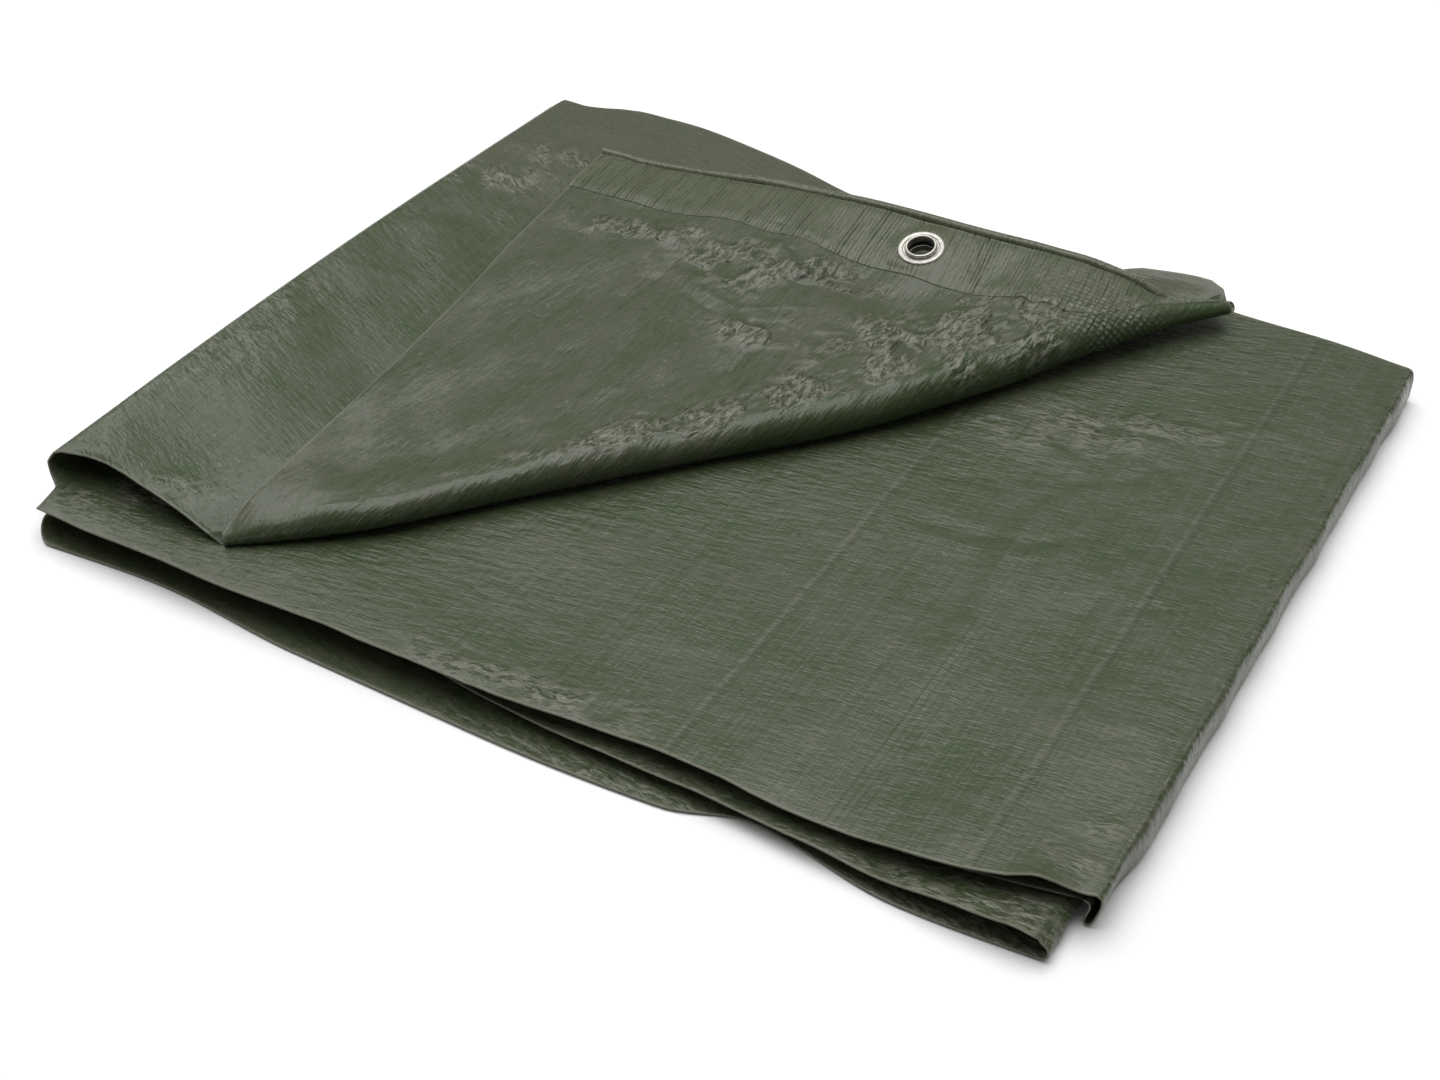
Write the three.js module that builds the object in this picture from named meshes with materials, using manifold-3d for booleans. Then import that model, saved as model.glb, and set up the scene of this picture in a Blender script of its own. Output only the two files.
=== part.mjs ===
// Folded poly tarp: a woven sheet folded back and forth, with its corner turned back over the stack.
// Millimetres, +Z up, the underside flat on z = 0.

import * as THREE from "three";
import Module from "manifold-3d";
import { mergeVertices } from "three/addons/utils/BufferGeometryUtils.js";

// Sheet and stack
const SHEET = 1.2;
const HALF = SHEET / 2;
const FOLD_STEPS = 4;
const WIDE_FOLD_STEPS = 6;
const PLY_STEPS = 9;
const ROWS = 17;

// Plies of the stack. Front and back edges are given at EDGE_AT along the ply, and the right
// fold draws in by nearRight at the front row.
const EDGE_AT = [0, 70, 135, 220, 296, 328, 385, 446];
const NEAR_ROWS = 0.07;
const INNER = {
  z: 6.6, left: 30, right: 444.6, nearRight: 9.6,
  front: [12, 12, 11, 9, 8, 8, 6, 8], back: [378, 381, 383, 383, 382, 382, 380, 375],
};
const BOTTOM = {
  z: HALF, left: 8, right: 444.6, nearRight: 9.6,
  front: [-5, 0.5, -3, -3, 1, 11, 3.5, 8], back: [382, 385, 385, 385, 384, 384, 383, 376],
};
const UNDER = {
  z: 10, left: 5.4, right: 445, nearRight: 0,
  front: [-1, 2, 5, 9, 14, 14, 17, 28], back: [374, 379, 381, 383, 384, 384, 383, 378],
};
const TOP = {
  z: 13.6, left: 2, right: 445, nearRight: 0,
  front: [0, 0, 4, 7, 12, 12, 14, 28], back: [372, 380, 383, 386, 387, 387, 384, 379],
};
const TOP_LIFT = { from: 340, to: 425, height: 1.8 };

// Spine that turns the top ply up and over, one row for each station round it.
const SPINE = [
  { name: "lift", front: { x: -0.8, y: 12, z: 15 }, back: { x: -1.5, y: 371, z: 16 } },
  { name: "belly", front: { x: -5.2, y: 14.5, z: 19 }, back: { x: -4, y: 370, z: 21.5 } },
  { name: "shoulder", front: { x: -6.4, y: 15.5, z: 23.5 }, back: { x: -4, y: 368, z: 28 } },
  { name: "crown", front: { x: -3.4, y: 17, z: 28 }, back: { x: -0.4, y: 368, z: 33 } },
];

const SPINE_BOW = { x: 1.6, z: 2.2 };

// Leaf between the spine and the roll. along runs from 0 at the spine to 1 at the roll.
const LEAF = [
  { along: 0.04, frontY: 18.5, frontZ: 28.4, backY: 377, backZ: 32.6 },
  { along: 0.12, frontY: 20, frontZ: 28.6, backY: 386, backZ: 30.4 },
  { along: 0.2, frontY: 22, frontZ: 28.7, backY: 388, backZ: 29.2 },
  { along: 0.32, frontY: 22, frontZ: 28.6, backY: 384, backZ: 27.6 },
  { along: 0.46, frontY: 21, frontZ: 28, backY: 376, backZ: 24.6 },
  { along: 0.6, frontY: 20, frontZ: 26.6, backY: 371, backZ: 20.8 },
  { along: 0.74, frontY: 19.5, frontZ: 24, backY: 370, backZ: 17.8 },
  { along: 0.86, frontY: 19, frontZ: 20.6, backY: 371, backZ: 16.2 },
  { along: 0.94, frontY: 19, frontZ: 17.4, backY: 372, backZ: 15.6 },
];

// Diagonal roll where the corner turns back, from the near tip to the far one.
const ROLL_FOOT = 15.3;
const ROLL_STEPS = 7;
const ROLL_OUT = { x: 0.78, y: -0.6258 };
const ROLL = [
  { at: 0, x: 83, y: 20, radius: 2.6 },
  { at: 0.06, x: 98, y: 33, radius: 5.2 },
  { at: 0.14, x: 122, y: 56, radius: 6.9 },
  { at: 0.3, x: 165, y: 108, radius: 7.4 },
  { at: 0.45, x: 207, y: 158, radius: 7.7 },
  { at: 0.6, x: 253, y: 211, radius: 8.6 },
  { at: 0.75, x: 290, y: 268, radius: 10.4 },
  { at: 0.88, x: 325, y: 323, radius: 10.8 },
  { at: 0.95, x: 347, y: 352, radius: 9.4 },
  { at: 1, x: 363, y: 369, radius: 6.6 },
];

// Free edge of the turned-back flap, where its hem runs.
const FLAP_STEPS = 10;
const EDGE = [
  { at: 0, x: 52, y: 338, z: 35 },
  { at: 0.16, x: 102, y: 345, z: 34.6 },
  { at: 0.34, x: 156, y: 351, z: 36 },
  { at: 0.51, x: 209, y: 353, z: 39.4 },
  { at: 0.68, x: 261, y: 352, z: 41 },
  { at: 0.8, x: 298, y: 354, z: 41 },
  { at: 0.88, x: 322, y: 359, z: 39 },
  { at: 0.94, x: 341, y: 366, z: 36 },
  { at: 1, x: 363, y: 378, z: 30.6 },
];

// Hem strip: two plies round the flap's edge, the flap held between them.
const HEM_WIDTH = 40;
const HEM_LAP = 3;
const HEM_RADIUS = 2.2;
const HEM_STEPS = 5;
const HEM_ROLL_MARGIN = 2;

// Eyelets: a flanged barrel through the ply and a washer under its rolled lip.
const SEAT = 0.3;
const EYELET_AT = 0.573;
const EYELET_INSET = 23.5;
const EYELET_TILT = { alongX: 0.035, alongY: 0.26 };
const EYELET_ROWS = 0.052;
const FLAT_INNER = 25;
const FLAT_OUTER = 64;
const HOLE_RADIUS = 6;
const TUBE = 0.7;
const CUT_RADIUS = HOLE_RADIUS + TUBE + SEAT;
const FLANGE_RADIUS = 11;
const METAL = 0.6;
const LIP_RADIUS = 7.8;
const LIP_HEIGHT = 0.9;
const WASHER_BORE = HOLE_RADIUS + TUBE + SEAT;
const ROUND_STEPS = 24;

const lerp = (from, to, share) => from + (to - from) * share;

const smooth = (from, to, value) => {
  const share = Math.min(1, Math.max(0, (value - from) / (to - from)));
  return share * share * (3 - 2 * share);
};

// Value of one column of a table at a place between its rows.
function column(table, key, place, value) {
  let index = 0;
  while (index < table.length - 2 && table[index + 1][key] < place) index += 1;
  const low = table[index];
  const high = table[index + 1];
  const share = Math.min(1, Math.max(0, (place - low[key]) / (high[key] - low[key])));
  return lerp(low[value], high[value], share);
}

function alongEdge(values, x) {
  const table = EDGE_AT.map((at, index) => ({ at, y: values[index] }));
  return column(table, "at", x, "y");
}

// Stack of plies
function rightEnd(ply, row) {
  return ply.right - ply.nearRight * (1 - smooth(NEAR_ROWS / 2, NEAR_ROWS, row));
}

function plyPoint(ply, share, row) {
  const x = lerp(ply.left, rightEnd(ply, row), share);
  const y = lerp(alongEdge(ply.front, x), alongEdge(ply.back, x), row);
  const level = (ply.z - BOTTOM.z) / (TOP.z - BOTTOM.z);
  const swell = 0.5 * Math.sin(x / 61 + 0.6) * Math.sin(y / 74 + 1.1);
  const lift = TOP_LIFT.height * smooth(TOP_LIFT.from, TOP_LIFT.to, x);
  return new THREE.Vector3(x, y, ply.z + level * (swell + lift));
}

// Half turn from a lower ply to an upper one, past their right or left ends
function foldPoint(low, high, side, angle, row) {
  const end = side > 0 ? 1 : 0;
  const from = plyPoint(low, end, row);
  const to = plyPoint(high, end, row);
  const radius = (to.z - from.z) / 2;
  const turn = (1 + Math.sin(angle)) / 2;
  return new THREE.Vector3(
    lerp(from.x, to.x, turn) + side * radius * Math.cos(angle),
    lerp(from.y, to.y, turn),
    (from.z + to.z) / 2 + radius * Math.sin(angle),
  );
}

// Diagonal roll
function rollAxis(row) {
  return {
    x: column(ROLL, "at", row, "x"),
    y: column(ROLL, "at", row, "y"),
    radius: column(ROLL, "at", row, "radius"),
  };
}

function rollPoint(row, angle) {
  const axis = rollAxis(row);
  const out = axis.radius * Math.cos(angle);
  const z = ROLL_FOOT + axis.radius * (1 + Math.sin(angle));
  return new THREE.Vector3(axis.x + ROLL_OUT.x * out, axis.y + ROLL_OUT.y * out, z);
}

function leafPoint(station, row) {
  const crown = SPINE[SPINE.length - 1];
  const startX = lerp(crown.front.x, crown.back.x, row) - SPINE_BOW.x * Math.sin(Math.PI * row);
  const axis = rollAxis(row);
  const frontEdge = lerp(crown.front.y, ROLL[0].y, station.along);
  const y = lerp(crown.front.y, crown.back.y, row) * (1 - station.along) + axis.y * station.along;
  const front = (station.frontY - frontEdge) * (1 - smooth(0, 0.3, row));
  const last = ROLL[ROLL.length - 1].y;
  const backEdge = lerp(crown.back.y, last, station.along);
  const back = (station.backY - backEdge) * smooth(0.7, 1, row);
  const bow = SPINE_BOW.z * Math.sin(Math.PI * row) * (1 - smooth(0, 0.5, station.along));
  return new THREE.Vector3(
    lerp(startX, axis.x, station.along),
    y + front + back,
    lerp(station.frontZ, station.backZ, row) + bow,
  );
}

// Turned-back flap
function edgePoint(row) {
  return new THREE.Vector3(
    column(EDGE, "at", row, "x"),
    column(EDGE, "at", row, "y"),
    column(EDGE, "at", row, "z"),
  );
}

function flapRaw(row, share) {
  const start = rollPoint(row, Math.PI / 2);
  const end = edgePoint(row);
  const quick = 1 - (1 - share) ** 8;
  const slow = Math.max(0, share) ** 2.2;
  const middle = smooth(0, 0.16, row);
  const late = smooth(0.8, 1, row);
  const rise = lerp(lerp(quick, slow, middle), share, late);
  const dip = -1.6 * Math.sin(Math.PI * share) * middle * (1 - late);
  return new THREE.Vector3(
    lerp(start.x, end.x, share),
    lerp(start.y, end.y, share),
    lerp(start.z, end.z, rise) + dip,
  );
}

function flapLength(row) {
  const start = rollPoint(row, Math.PI / 2);
  return start.distanceTo(edgePoint(row));
}

const eyeletSpot = (() => {
  const spot = flapRaw(EYELET_AT, 1 - EYELET_INSET / flapLength(EYELET_AT));
  const edge = edgePoint(EYELET_AT);
  spot.z = edge.z - 0.4 - EYELET_TILT.alongY * (edge.y - spot.y);
  return spot;
})();

function flapPoint(row, share) {
  const point = flapRaw(row, share);
  const dx = point.x - eyeletSpot.x;
  const dy = point.y - eyeletSpot.y;
  const plane = eyeletSpot.z + EYELET_TILT.alongX * dx + EYELET_TILT.alongY * dy;
  const weight = 1 - smooth(FLAT_INNER, FLAT_OUTER, Math.hypot(dx, dy));
  point.z = lerp(point.z, plane, weight);
  return point;
}

// Place on the flap, given as a distance in from its hem edge.
function flapInset(row, inset) {
  return flapPoint(row, 1 - inset / flapLength(row));
}

function insetLimit(row) {
  return Math.max(4, flapLength(row) - HEM_ROLL_MARGIN);
}

function flapNormal(row, inset) {
  const step = 1.5;
  const low = Math.max(0, row - 0.006);
  const high = Math.min(1, row + 0.006);
  const across = flapInset(high, inset).sub(flapInset(low, inset));
  const inward = flapInset(row, inset + step).sub(flapInset(row, inset));
  return across.cross(inward).negate().normalize();
}

// Rows across the strip, closer together at both ends, with one to each side of the eyelets
const evenRows = Array.from({ length: ROWS }, (_, index) => {
  const even = index / (ROWS - 1);
  return lerp(even, (1 - Math.cos(Math.PI * even)) / 2, 0.6);
});
const eyeletRows = [EYELET_AT - EYELET_ROWS, EYELET_AT + EYELET_ROWS];
const rows = [
  ...evenRows.filter((row) => eyeletRows.every((near) => Math.abs(row - near) > EYELET_ROWS / 2)),
  ...eyeletRows,
].sort((a, b) => a - b);

function plyStations(ply, leftward) {
  return Array.from({ length: PLY_STEPS + 1 }, (_, index) => {
    const share = index / PLY_STEPS;
    return (row) => plyPoint(ply, leftward ? 1 - share : share, row);
  });
}

function foldStations(low, high, side, steps) {
  return Array.from({ length: steps - 1 }, (_, index) => {
    const angle = -Math.PI / 2 + Math.PI * (index + 1) / steps;
    return (row) => foldPoint(low, high, side, angle, row);
  });
}

const stack = [
  ...plyStations(INNER, false),
  ...foldStations(BOTTOM, INNER, 1, FOLD_STEPS).reverse(),
  ...plyStations(BOTTOM, true),
  ...foldStations(BOTTOM, UNDER, -1, WIDE_FOLD_STEPS),
  ...plyStations(UNDER, false),
  ...foldStations(UNDER, TOP, 1, FOLD_STEPS),
  ...plyStations(TOP, true),
];

const spine = SPINE.map(({ front, back }) => (row) => new THREE.Vector3(
  lerp(front.x, back.x, row) - SPINE_BOW.x * Math.sin(Math.PI * row),
  lerp(front.y, back.y, row),
  lerp(front.z, back.z, row) + SPINE_BOW.z * Math.sin(Math.PI * row) * smooth(14, 30, front.z),
));

const leaf = LEAF.map((station) => (row) => leafPoint(station, row));

const roll = Array.from({ length: ROLL_STEPS + 1 }, (_, index) => {
  const angle = -Math.PI / 2 + Math.PI * index / ROLL_STEPS;
  return (row) => rollPoint(row, angle);
});

const flap = Array.from({ length: FLAP_STEPS }, (_, index) => (row) => {
  const inset = Math.min(HEM_WIDTH - HEM_LAP, insetLimit(row) - HEM_LAP / 2);
  const reach = 1 - inset / flapLength(row);
  return flapPoint(row, reach * (index + 1) / FLAP_STEPS);
});

const clothStations = [...stack, ...spine, ...leaf, ...roll, ...flap];

// Closed skin round a grid of points, half a sheet to each side of it
function sheetGeometry(grid) {
  const count = grid.length;
  const width = grid[0].length;
  const near = (value, top) => Math.min(top, Math.max(0, value));
  const sides = [[], []];
  for (let i = 0; i < count; i += 1) {
    for (let j = 0; j < width; j += 1) {
      const alongS = grid[near(i + 1, count - 1)][j].clone().sub(grid[near(i - 1, count - 1)][j]);
      const alongT = grid[i][near(j + 1, width - 1)].clone().sub(grid[i][near(j - 1, width - 1)]);
      const normal = alongS.cross(alongT).normalize();
      sides[0].push(grid[i][j].clone().addScaledVector(normal, HALF));
      sides[1].push(grid[i][j].clone().addScaledVector(normal, -HALF));
    }
  }
  const points = [...sides[0], ...sides[1]];
  const place = (side, i, j) => side * count * width + i * width + j;
  const triangles = [];
  const quad = (a, b, c, d) => triangles.push(a, b, c, a, c, d);
  for (let i = 0; i < count - 1; i += 1) {
    for (let j = 0; j < width - 1; j += 1) {
      quad(place(0, i, j), place(0, i + 1, j), place(0, i + 1, j + 1), place(0, i, j + 1));
      quad(place(1, i, j), place(1, i, j + 1), place(1, i + 1, j + 1), place(1, i + 1, j));
    }
    quad(place(0, i, 0), place(1, i, 0), place(1, i + 1, 0), place(0, i + 1, 0));
    const last = width - 1;
    quad(place(0, i, last), place(0, i + 1, last), place(1, i + 1, last), place(1, i, last));
  }
  for (let j = 0; j < width - 1; j += 1) {
    quad(place(0, 0, j), place(0, 0, j + 1), place(1, 0, j + 1), place(1, 0, j));
    const end = count - 1;
    quad(place(0, end, j), place(1, end, j), place(1, end, j + 1), place(0, end, j + 1));
  }
  const geometry = new THREE.BufferGeometry();
  const values = points.flatMap((point) => [point.x, point.y, point.z]);
  geometry.setAttribute("position", new THREE.Float32BufferAttribute(values, 3));
  geometry.setIndex(triangles);
  return geometry;
}

const clothGrid = clothStations.map((station) => rows.map(station));

// Hem strip's section: upper ply, round the edge, lower ply
function hemStation(kind, share) {
  return (row) => {
    const width = Math.min(HEM_WIDTH, insetLimit(row));
    if (kind === "turn") {
      const angle = Math.PI / 2 - Math.PI * share;
      const inset = HEM_RADIUS + HALF;
      const centre = flapInset(row, inset);
      const normal = flapNormal(row, inset);
      const outward = flapInset(row, inset - 1).sub(flapInset(row, inset + 1)).normalize();
      return centre.addScaledVector(normal, HEM_RADIUS * Math.sin(angle))
        .addScaledVector(outward, HEM_RADIUS * Math.cos(angle));
    }
    const inset = lerp(width, HEM_RADIUS + HALF, share);
    const side = kind === "upper" ? HEM_RADIUS : -HEM_RADIUS;
    return flapInset(row, inset).addScaledVector(flapNormal(row, inset), side);
  };
}

const hemStations = [
  ...Array.from({ length: HEM_STEPS }, (_, index) => hemStation("upper", index / HEM_STEPS)),
  ...Array.from({ length: 5 }, (_, index) => hemStation("turn", index / 4)),
  ...Array.from({ length: HEM_STEPS }, (_, index) => hemStation("lower", 1 - (index + 1) / HEM_STEPS)),
];
const hemGrid = hemStations.map((station) => rows.map(station));

// Solids for cutting
const wasm = await Module();
wasm.setup();

function toSolid(geometry) {
  const bare = geometry.clone();
  bare.deleteAttribute("normal");
  bare.deleteAttribute("uv");
  const merged = mergeVertices(bare, 1e-4);
  return new wasm.Manifold(new wasm.Mesh({
    numProp: 3,
    vertProperties: new Float32Array(merged.attributes.position.array),
    triVerts: new Uint32Array(merged.index.array),
  }));
}

function toGeometry(solid) {
  const mesh = solid.getMesh();
  const geometry = new THREE.BufferGeometry();
  geometry.setAttribute("position", new THREE.BufferAttribute(new Float32Array(mesh.vertProperties), 3));
  geometry.setIndex(new THREE.BufferAttribute(new Uint32Array(mesh.triVerts), 1));
  return geometry;
}

const eyeletNormal = new THREE.Vector3(-EYELET_TILT.alongX, -EYELET_TILT.alongY, 1).normalize();

// Frame of an eyelet on its ply, the washer's side towards the given normal.
function eyeletMatrix(side) {
  const normal = eyeletNormal.clone().multiplyScalar(side);
  const turn = new THREE.Quaternion().setFromUnitVectors(new THREE.Vector3(0, 0, 1), normal);
  const spot = eyeletSpot.clone().addScaledVector(eyeletNormal, side * HEM_RADIUS);
  return new THREE.Matrix4().compose(spot, turn, new THREE.Vector3(1, 1, 1));
}

function ring(profile) {
  const outline = [...profile, profile[0]].map(([radius, z]) => new THREE.Vector2(radius, z));
  const geometry = new THREE.LatheGeometry(outline, ROUND_STEPS);
  geometry.rotateX(Math.PI / 2);
  return geometry;
}

const flangeTop = -HALF - SEAT;
const washerFoot = HALF + SEAT;
const lipFoot = washerFoot + METAL + SEAT;
const tubeRadius = HOLE_RADIUS + TUBE;

function barrelGeometry() {
  return ring([
    [HOLE_RADIUS, flangeTop - METAL],
    [FLANGE_RADIUS - 0.3, flangeTop - METAL],
    [FLANGE_RADIUS, flangeTop - METAL / 2],
    [FLANGE_RADIUS - 0.3, flangeTop],
    [tubeRadius, flangeTop],
    [tubeRadius, lipFoot],
    [LIP_RADIUS - 0.3, lipFoot],
    [LIP_RADIUS, lipFoot + LIP_HEIGHT / 2],
    [LIP_RADIUS - 0.7, lipFoot + LIP_HEIGHT],
    [HOLE_RADIUS + 0.3, lipFoot + LIP_HEIGHT * 0.8],
  ]);
}

function washerGeometry() {
  return ring([
    [WASHER_BORE, washerFoot],
    [FLANGE_RADIUS - 0.3, washerFoot],
    [FLANGE_RADIUS, washerFoot + METAL / 2],
    [FLANGE_RADIUS - 0.3, washerFoot + METAL],
    [WASHER_BORE, washerFoot + METAL],
  ]);
}

const drill = new THREE.CylinderGeometry(CUT_RADIUS, CUT_RADIUS, 4 * HEM_RADIUS + 6, ROUND_STEPS);
drill.rotateX(Math.PI / 2);
const drillTurn = new THREE.Quaternion().setFromUnitVectors(new THREE.Vector3(0, 0, 1), eyeletNormal);
drill.applyMatrix4(new THREE.Matrix4().compose(eyeletSpot, drillTurn, new THREE.Vector3(1, 1, 1)));

const clothMaterial = () => new THREE.MeshStandardMaterial({ color: 0x3b4226, roughness: 0.5, metalness: 0 });
const metalMaterial = () => new THREE.MeshStandardMaterial({ color: 0xc9cbcc, roughness: 0.32, metalness: 1 });

const tarp = new THREE.Group();

function add(name, geometry, material) {
  const mesh = new THREE.Mesh(geometry, material);
  mesh.name = name;
  tarp.add(mesh);
}

const hemSolid = toSolid(sheetGeometry(hemGrid)).subtract(toSolid(drill));

add("tarp_cloth", sheetGeometry(clothGrid), clothMaterial());
add("hem_strip", toGeometry(hemSolid), clothMaterial());
add("eyelet_barrel_upper", barrelGeometry().applyMatrix4(eyeletMatrix(1)), metalMaterial());
add("eyelet_washer_upper", washerGeometry().applyMatrix4(eyeletMatrix(1)), metalMaterial());
add("eyelet_barrel_lower", barrelGeometry().applyMatrix4(eyeletMatrix(-1)), metalMaterial());
add("eyelet_washer_lower", washerGeometry().applyMatrix4(eyeletMatrix(-1)), metalMaterial());

// Origin under the middle of the part's bounding box
const box = new THREE.Box3();
tarp.children.forEach((mesh) => {
  mesh.geometry.computeBoundingBox();
  box.union(mesh.geometry.boundingBox);
});
const middle = box.getCenter(new THREE.Vector3());
tarp.children.forEach((mesh) => mesh.geometry.translate(-middle.x, -middle.y, -box.min.z));

export default tarp;
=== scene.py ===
import math
from collections import namedtuple

import bmesh
import bpy
import numpy as np
from bpy.props import FloatProperty, FloatVectorProperty, IntProperty, PointerProperty
from mathutils import Matrix, Vector
from mathutils.bvhtree import BVHTree


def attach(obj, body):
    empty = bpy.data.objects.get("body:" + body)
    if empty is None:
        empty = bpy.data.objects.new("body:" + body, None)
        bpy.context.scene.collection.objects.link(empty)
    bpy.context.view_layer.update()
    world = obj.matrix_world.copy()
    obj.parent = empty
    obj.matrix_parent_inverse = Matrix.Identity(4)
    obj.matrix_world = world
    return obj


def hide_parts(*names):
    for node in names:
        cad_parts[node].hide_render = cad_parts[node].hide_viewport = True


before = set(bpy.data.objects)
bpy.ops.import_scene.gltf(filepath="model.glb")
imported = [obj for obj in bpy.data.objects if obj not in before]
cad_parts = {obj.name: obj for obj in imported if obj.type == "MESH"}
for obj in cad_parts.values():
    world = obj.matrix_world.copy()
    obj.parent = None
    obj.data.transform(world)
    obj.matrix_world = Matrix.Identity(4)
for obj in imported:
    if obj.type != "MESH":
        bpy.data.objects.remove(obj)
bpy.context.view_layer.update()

bl_info = {
    "name": "Folded Tarpaulin",
    "version": (1, 0, 0),
    "blender": (4, 5, 0),
    "location": "3D View > Sidebar > Tarpaulin",
    "description": "Builds a folded poly tarpaulin with its turned-back corner, hem, eyelets and weave",
    "category": "Add Mesh",
}

# The folds are laid out in millimetres from the top ply's front-left corner, with z = 0 on the floor.
CORNER = np.array([-220.577, -191.815, 0.0])
MM = 0.001

Ply = namedtuple("Ply", "z left right near_right front back")
WallRow = namedtuple("WallRow", "at x z")
SpineRow = namedtuple("SpineRow", "front back")
LeafRow = namedtuple("LeafRow", "along front_y front_z back_y back_z")
RollRow = namedtuple("RollRow", "at x y foot radius")
EdgeRow = namedtuple("EdgeRow", "at x y z")
Crease = namedtuple("Crease", "width height line")
Spot = namedtuple("Spot", "x y across along angle count length width height")


def rows_of(kind, rows):
    return [kind(*row) for row in rows]


# Plies of the stack, with their front and back edges given at EDGE_AT along them
EDGE_AT = [0, 70, 135, 220, 296, 328, 385, 446]
NEAR_ROWS = (0.06, 0.12)
INNER = Ply(6.6, 30, 440, 4.8, [26, 26, 20, 9, 8, 8, 6, 8], [378, 381, 383, 383, 382, 382, 380, 375])
BOTTOM = Ply(0.6, 8, 440, 4.8, [-5, 0.5, -3, -3, 1, 11, 3.5, 8], [382, 385, 385, 385, 384, 384, 383, 376])
UNDER = Ply(10, 5.4, 441.4, 0, [3, 15, 18, 18, 17, 15, 18, 29], [374, 379, 381, 383, 384, 384, 383, 378])
TOP = Ply(13.6, 2, 445, 0, [0, 0, 4, 7, 12, 12, 14, 28], [372, 380, 383, 386, 387, 387, 384, 379])
TOP_LIFT = (340, 425, 1.8)

# Rise of the front rims of two plies near their right ends, in straight stretches
RIM_AT = [370, 384, 404, 417, 426, 433, 437, 441, 446]
TOP_RIM = [0, 0, 0, 0.7, 3.2, 1.6, 0.4, -0.6, 0]
INNER_RIM = [0, 0.8, 3, 3.4, 3.6, 1.6, 0.7, 0, 0]

# Right side, where the cloth hangs from the top ply to the floor and comes back up inside
WALL = rows_of(WallRow, [
    (0, 441.4, 11.3),
    (0.12, 444.4, 10.6),
    (0.22, 445.4, 8.2),
    (0.36, 445.6, 3.8),
    (0.44, 446, 1.5),
    (0.5, 447, 0.8),
    (0.56, 447.9, 1.5),
    (0.64, 448.2, 4),
    (0.78, 448.3, 9),
    (0.88, 447.9, 12.4),
    (0.95, 446.9, 14.6),
    (1, 445, 15.4),
])
WALL_FRONT = (28, 70)
WALL_TUCK = 4

# Spine that turns the top ply up and over
SPINE = rows_of(SpineRow, [
    ((-0.8, 12, 15), (-1.5, 371, 16)),
    ((-5.2, 14.5, 19), (-4, 370, 21.5)),
    ((-6.4, 15.5, 23.5), (-4, 367, 27)),
    ((-3.4, 17, 28), (0, 366, 31)),
])
SPINE_BOW_X = 1.6
SPINE_BOW_Z = 2.2

# Leaf between the spine and the roll
LEAF = rows_of(LeafRow, [
    (0.04, 18.5, 28.4, 374, 31.8),
    (0.12, 20, 28.6, 386, 30.4),
    (0.2, 22, 28.7, 388, 29.2),
    (0.32, 22, 28.6, 384, 27.6),
    (0.46, 21, 28, 376, 24.6),
    (0.6, 20, 26.6, 371, 20.8),
    (0.74, 19.5, 24, 370, 17.8),
    (0.86, 19, 20.6, 371, 16.2),
    (0.94, 19, 17.4, 372, 15.6),
])

# Diagonal roll where the corner turns back, pinched and lifted at its far tip
TIP_CURL = (12, 4.6)
ROLL_OUT = np.array([0.78, -0.6258, 0])
ROLL = rows_of(RollRow, [
    (0, 83, 20, 15.3, 2.6),
    (0.06, 98, 33, 15.3, 5.2),
    (0.14, 122, 56, 15.3, 6.9),
    (0.3, 165, 108, 15.3, 7.4),
    (0.45, 207, 158, 15.3, 7.7),
    (0.6, 253, 211, 15.3, 8.6),
    (0.75, 290, 268, 15.6, 10),
    (0.88, 325, 323, 19.5, 8.2),
    (0.95, 347, 352, 21.6, 5),
    (1, 364, 370, 22.6, 2),
])

# Free edge of the turned-back flap
EDGE = rows_of(EdgeRow, [
    (0, 52, 338, 35),
    (0.16, 102, 345, 34.6),
    (0.34, 156, 351, 36),
    (0.51, 209, 353, 39.4),
    (0.68, 261, 352, 41),
    (0.8, 298, 354, 40.4),
    (0.88, 322, 358, 35),
    (0.94, 341, 363, 25.6),
    (1, 366, 374, 23.6),
])

# How far the flap's left side bows to the right of a straight line, by its distance back
FLAP_BOW_Y = [20, 50, 90, 136, 195, 243, 338]
FLAP_BOW_X = [0, 1.6, 3, 4.2, 3.8, 1.2, 0]
FLAP_BOW_ROWS = 0.28

# Left edge of the flap, where it lies on the leaf
FLAP_SIDE_X = [79, 92, 95, 90, 76, 64, 62]
FLAP_SIDE_Y = [19, 40, 70, 140, 231, 338, 375]

# Height of the flap's middle over the leaf it lies on, and over it beside the hem
REST = 1.3
REST_HEM = 1.9
SIDE_CURL = 0.9

# Hem and eyelets
HEM_LAP = 3
HEM_OFFSET = 2.2
HEM_FLAT = 0.9
HEM_EDGE = 0.44
HEM_MARGIN = 2
# Painted light: the hem's greyer colour is lifted by this factor, making it a lighter copy of the sheet's
# film
HEM_PAINTED_LIGHT = 1.2
EYELET_AT = 0.573
EYELET_INSET = 23.5
TILT_X = 0.035
TILT_Y = 0.26
FLAT_INNER = 25
FLAT_OUTER = 64

WEAVE_ANGLE = math.radians(95.5)
FLAP_GRAIN = -1.4
SHEET_FILM = "Film Over Weave"
HEM_FILM = "Hem Film"

# The under ply is built in two sheets, which meet at these shares along it
UNDER_SPLIT = (0.86, 0.862)

# Rows across each sheet and steps along its parts
LOWER_ROWS, TOP_ROWS, FLAP_ROWS, HEM_ROWS = 110, 130, 206, 236
LOWER_STEPS, FOLD_STEPS, UNDER_STEPS = 110, 17, 70
UNDER_END_STEPS, WALL_STEPS, TOP_STEPS, RISE_STEPS, COVERED_STEPS = 8, 38, 176, 91, 45
ROLL_STEPS, FLAP_STEPS, OVERLAP_STEPS = 30, 172, 4
HEM_STEPS, BEAD_STEPS = 44, 25
FLAP_SPAN = 460
HEM_SPAN = 320
BEAD_TURN = 162

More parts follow.
